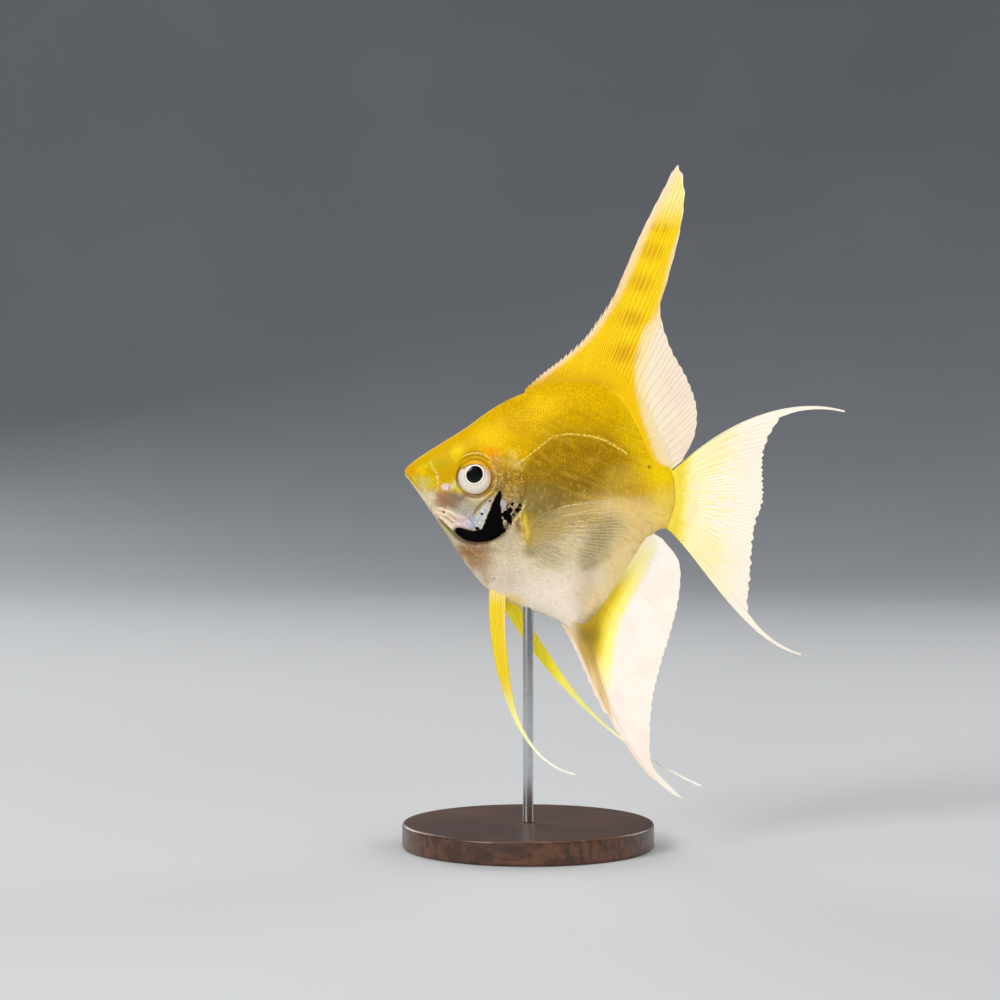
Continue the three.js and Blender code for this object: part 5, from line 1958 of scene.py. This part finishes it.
def tubes(paths, radii, sides=6):
    """Tapered tubes along paths of points, closed at both ends."""
    turn = np.linspace(0, 2 * math.pi, sides, endpoint=False)
    points, faces, along = [], [], []
    for path, radius in zip(paths, radii):
        heading = unit(np.gradient(path, axis=0))
        across = unit(np.cross(heading, [0, 1.0, 0]))
        out = np.cross(across, heading)
        rim = np.cos(turn)[:, None] * across[:, None] + np.sin(turn)[:, None] * out[:, None]
        start = sum(len(p) for p in points)
        end = start + (len(path) - 1) * sides
        points.append((path[:, None] + rim * radius[:, None, None]).reshape(-1, 3))
        along.append(np.repeat(np.linspace(0, 1, len(path)), sides))
        faces += [[start + v for v in face] for face in turned_faces(len(path), sides)]
        faces += [[*range(start, start + sides)][::-1], [*range(end, end + sides)]]
    return np.concatenate(points), faces, np.concatenate(along)


film_columns = zones((1, PECTORAL_RAYS - 1, 4, False))
for name, side in [("left", -1), ("right", 1)]:
    sway = pectoral_sway(side)
    points, faces, values = plate(pectoral_place, sway, film_columns, 24, whole, 0.12, 0.0, 0.1)
    node = f"pectoral_fin_{name}"
    piece(f"film_pectoral_{name}", points, faces, film_finish, [node], values)
    v = np.linspace(0, 0.99, 24)
    spread = 0.25 / (PECTORAL_RAYS - 1) * fade_of(v, 0.35, 0.9)  # each ray forks in two
    paths = []
    for u in np.linspace(0, 1, PECTORAL_RAYS):
        for fork in (-1, 1):
            x, z = pectoral_place(np.clip(u + fork * spread, 0, 1), v)
            middle = sway(x, z, u, v) / STANDARD_LENGTH
            paths.append(STANDARD_LENGTH * np.stack([x, middle, z], 1))
    points, faces, along = tubes(paths, [0.12 * (1 - 0.7 * v)] * len(paths))
    values = {"ray": np.stack([0 * along + 1, along, 0 * along], 1)}
    piece(f"rays_pectoral_{name}", points, faces, pectoral_ray_finish, [node], values)

# %% [markdown]
# ## Display stand
# A turned wooden base with a soft edge and a polished steel rod, as a museum would use. The wood's
# grain is a stretched noise across the disc, and the rod gets the fine rings of a brushed finish.


# %% Stand
def turned(profile, turns):
    """Rings of points round the upright axis, from (radius, height) pairs in mm."""
    phi = np.linspace(0, 2 * math.pi, turns, endpoint=False)
    radius, height = np.array(profile, float).T[:, :, None]
    rings_ = [radius * np.cos(phi), radius * np.sin(phi), height + 0 * phi]
    return np.stack(rings_, -1).reshape(-1, 3)


def lathe(profile, turns):
    """A closed body turned round the upright axis; its profile starts and ends on the axis."""
    points = turned(profile[1:-1], turns)
    ends = [[0, 0, profile[0][1]], [0, 0, profile[-1][1]]]
    faces = turned_faces(len(profile) - 2, turns, len(points), len(points) + 1)
    return np.concatenate([points, ends]), faces


def rounded(radius, low, high, soft, count=7):
    """Profile of a disc with softly rounded rims."""
    quarter = np.linspace(0, math.pi / 2, count)
    inner, flat = radius - soft, radius - 3 * soft
    lower = [(inner + soft * math.sin(q), low + soft - soft * math.cos(q)) for q in quarter]
    upper = [(inner + soft * math.cos(q), high - soft + soft * math.sin(q)) for q in quarter]
    return [(0, low), (flat, low), *lower, *upper, (flat, high), (0, high)]
print("a turned disc:", len(lathe(rounded(36, 0, 5, 0.9), 12)[0]), "points")


# %% Wood and steel
def build_wood(paint):
    place, _ = stored(paint, "place")
    ripple = noise(place, 3.5, 3)
    grain = noise(place, 16, 5, (0.35, 1.5, 5))
    pores = noise(place, 60, 3, (0.12, 1, 4))
    colour = layers(
        (96, 58, 34),
        ((58, 33, 19), fade(grain + ripple * 0.4, 0.55, 0.85)),
        ((34, 19, 11), fade(pores, 0.58, 0.7) * 0.7),
    )
    return {
        "Base Color": colour,
        "Roughness": 0.32 + pores * 0.2,
        "Normal": bump(pores + grain * 0.4, 0.0001, 0.35),
    }


def build_steel(paint):
    place, _ = stored(paint, "place")
    brushed = noise(place, 40, 3, (0.5, 26, 0.5))
    return {
        "Base Color": over((222, 224, 228), (194, 197, 202), brushed),
        "Roughness": 0.2 + brushed * 0.18,
        "Normal": bump(brushed, 0.00002, 0.3),
    }


wood = finish("base_wood", build_wood, Coat_Weight=0.35, Coat_Roughness=0.15)
steel = finish("rod_steel", build_steel, Metallic=1.0)


# %% Base and rod
def box_mm(node):
    low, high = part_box(node)
    return np.array(low) / MM, np.array(high) / MM


base_low, base_high = box_mm("stand_base")
rod_low, rod_high = box_mm("stand_rod")
BASE_SOFT, ROD_SOFT = 0.9, 0.25  # how far their rims are rounded, mm
SUNK = 0.3  # how deep the rod stands in the base, mm
points, faces = lathe(rounded(base_high[0], base_low[2], base_high[2], BASE_SOFT), 160)
piece("base", points, faces, wood, ["stand_base"], in_fish=False)
rod_radius, rod_x = (rod_high[0] - rod_low[0]) / 2, (rod_high[0] + rod_low[0]) / 2
points, faces = lathe(rounded(rod_radius, rod_low[2] - SUNK, rod_high[2], ROD_SOFT, 4), 48)
piece("rod", points + [rod_x, 0, 0], faces, steel, ["stand_rod"], in_fish=False)

# %% [markdown]
# ## Room and light
# The fish stands on a pale floor that curves up into a grey wall all round, so that cream fins show
# against it from every side. Large soft lamps stand round it, the strongest in front and above on
# the left, and two behind give the thin fins a light edge.


# %% Room
def build_room(paint):
    where = paint.node("ShaderNodeNewGeometry", None, None, "Position")
    radius = length_of(vector_math(where, "MULTIPLY", (1, 1, 0)))
    dust = noise(where, 6, 2)
    colour = layers(
        (196, 197, 198),
        ((128, 132, 137), fade(radius, 0.35, 1.7)),
        ((206, 206, 206), fade(dust, 0.4, 0.7) * 0.03),
    )
    return {"Base Color": colour, "Roughness": 0.8 + dust * 0.1}

# %% Backdrop
ROOM_RADIUS, WALL_TOP, BEND = 1900, 2400, 800  # mm
ROOM_TURNS = 96
floor_end = ROOM_RADIUS - BEND
room_profile = [(300, 0), (700, 0), (floor_end, 0)]
for q in np.linspace(0.1, math.pi / 2, 14):
    room_profile.append((floor_end + BEND * math.sin(q), BEND - BEND * math.cos(q)))
room_profile += [(ROOM_RADIUS, 2 * BEND), (ROOM_RADIUS, WALL_TOP)]
rings = turned(room_profile, ROOM_TURNS)
room_faces = turned_faces(len(room_profile), ROOM_TURNS, len(rings))
room_points = np.concatenate([rings, [[0, 0, 0]]])
room_mesh = bpy.data.meshes.new("room")
room_mesh.from_pydata((room_points * MM).tolist(), [], room_faces)
room_mesh.polygons.foreach_set("use_smooth", np.ones(len(room_mesh.polygons), bool))
room_mesh.materials.append(finish("room_finish", build_room))
room = bpy.data.objects.new("room", room_mesh)
bpy.context.collection.objects.link(room)

# %% Lamps
TARGET = Vector((0.005, 0, 0.1))


def lamp(name, at, size, power, mirrored_in_eye=True, spread=180):
    """A soft square lamp that faces the fish, seen in glossy surfaces or not."""
    data = bpy.data.lights.new(name, "AREA")
    data.shape = "SQUARE"
    data.size = size
    data.energy = power
    data.spread = math.radians(spread)
    made = bpy.data.objects.new(name, data)
    made.location = at
    made.rotation_mode = "QUATERNION"
    made.rotation_quaternion = (TARGET - Vector(at)).to_track_quat("-Z", "Y")
    made.visible_glossy = mirrored_in_eye
    bpy.context.collection.objects.link(made)


lamp("key_lamp", (-0.75, -0.95, 0.8), 0.55, 12)
lamp("fill_lamp", (0.95, -0.85, 0.35), 0.8, 5.5, False)
lamp("low_lamp", (-0.13, -1.3, 0.31), 0.4, 1.95, False, 130)
lamp("top_lamp", (0.05, 0.1, 1.25), 0.8, 5)
lamp("back_left_lamp", (-0.8, 0.95, 0.6), 0.7, 6)
lamp("back_right_lamp", (0.9, 0.85, 0.6), 0.7, 6)
world = bpy.data.worlds.new("soft_air")
world.use_nodes = True
air = world.node_tree.nodes["Background"].inputs
air["Color"].default_value = (0.9, 0.95, 1, 1)
air["Strength"].default_value = 0.28
bpy.context.scene.world = world
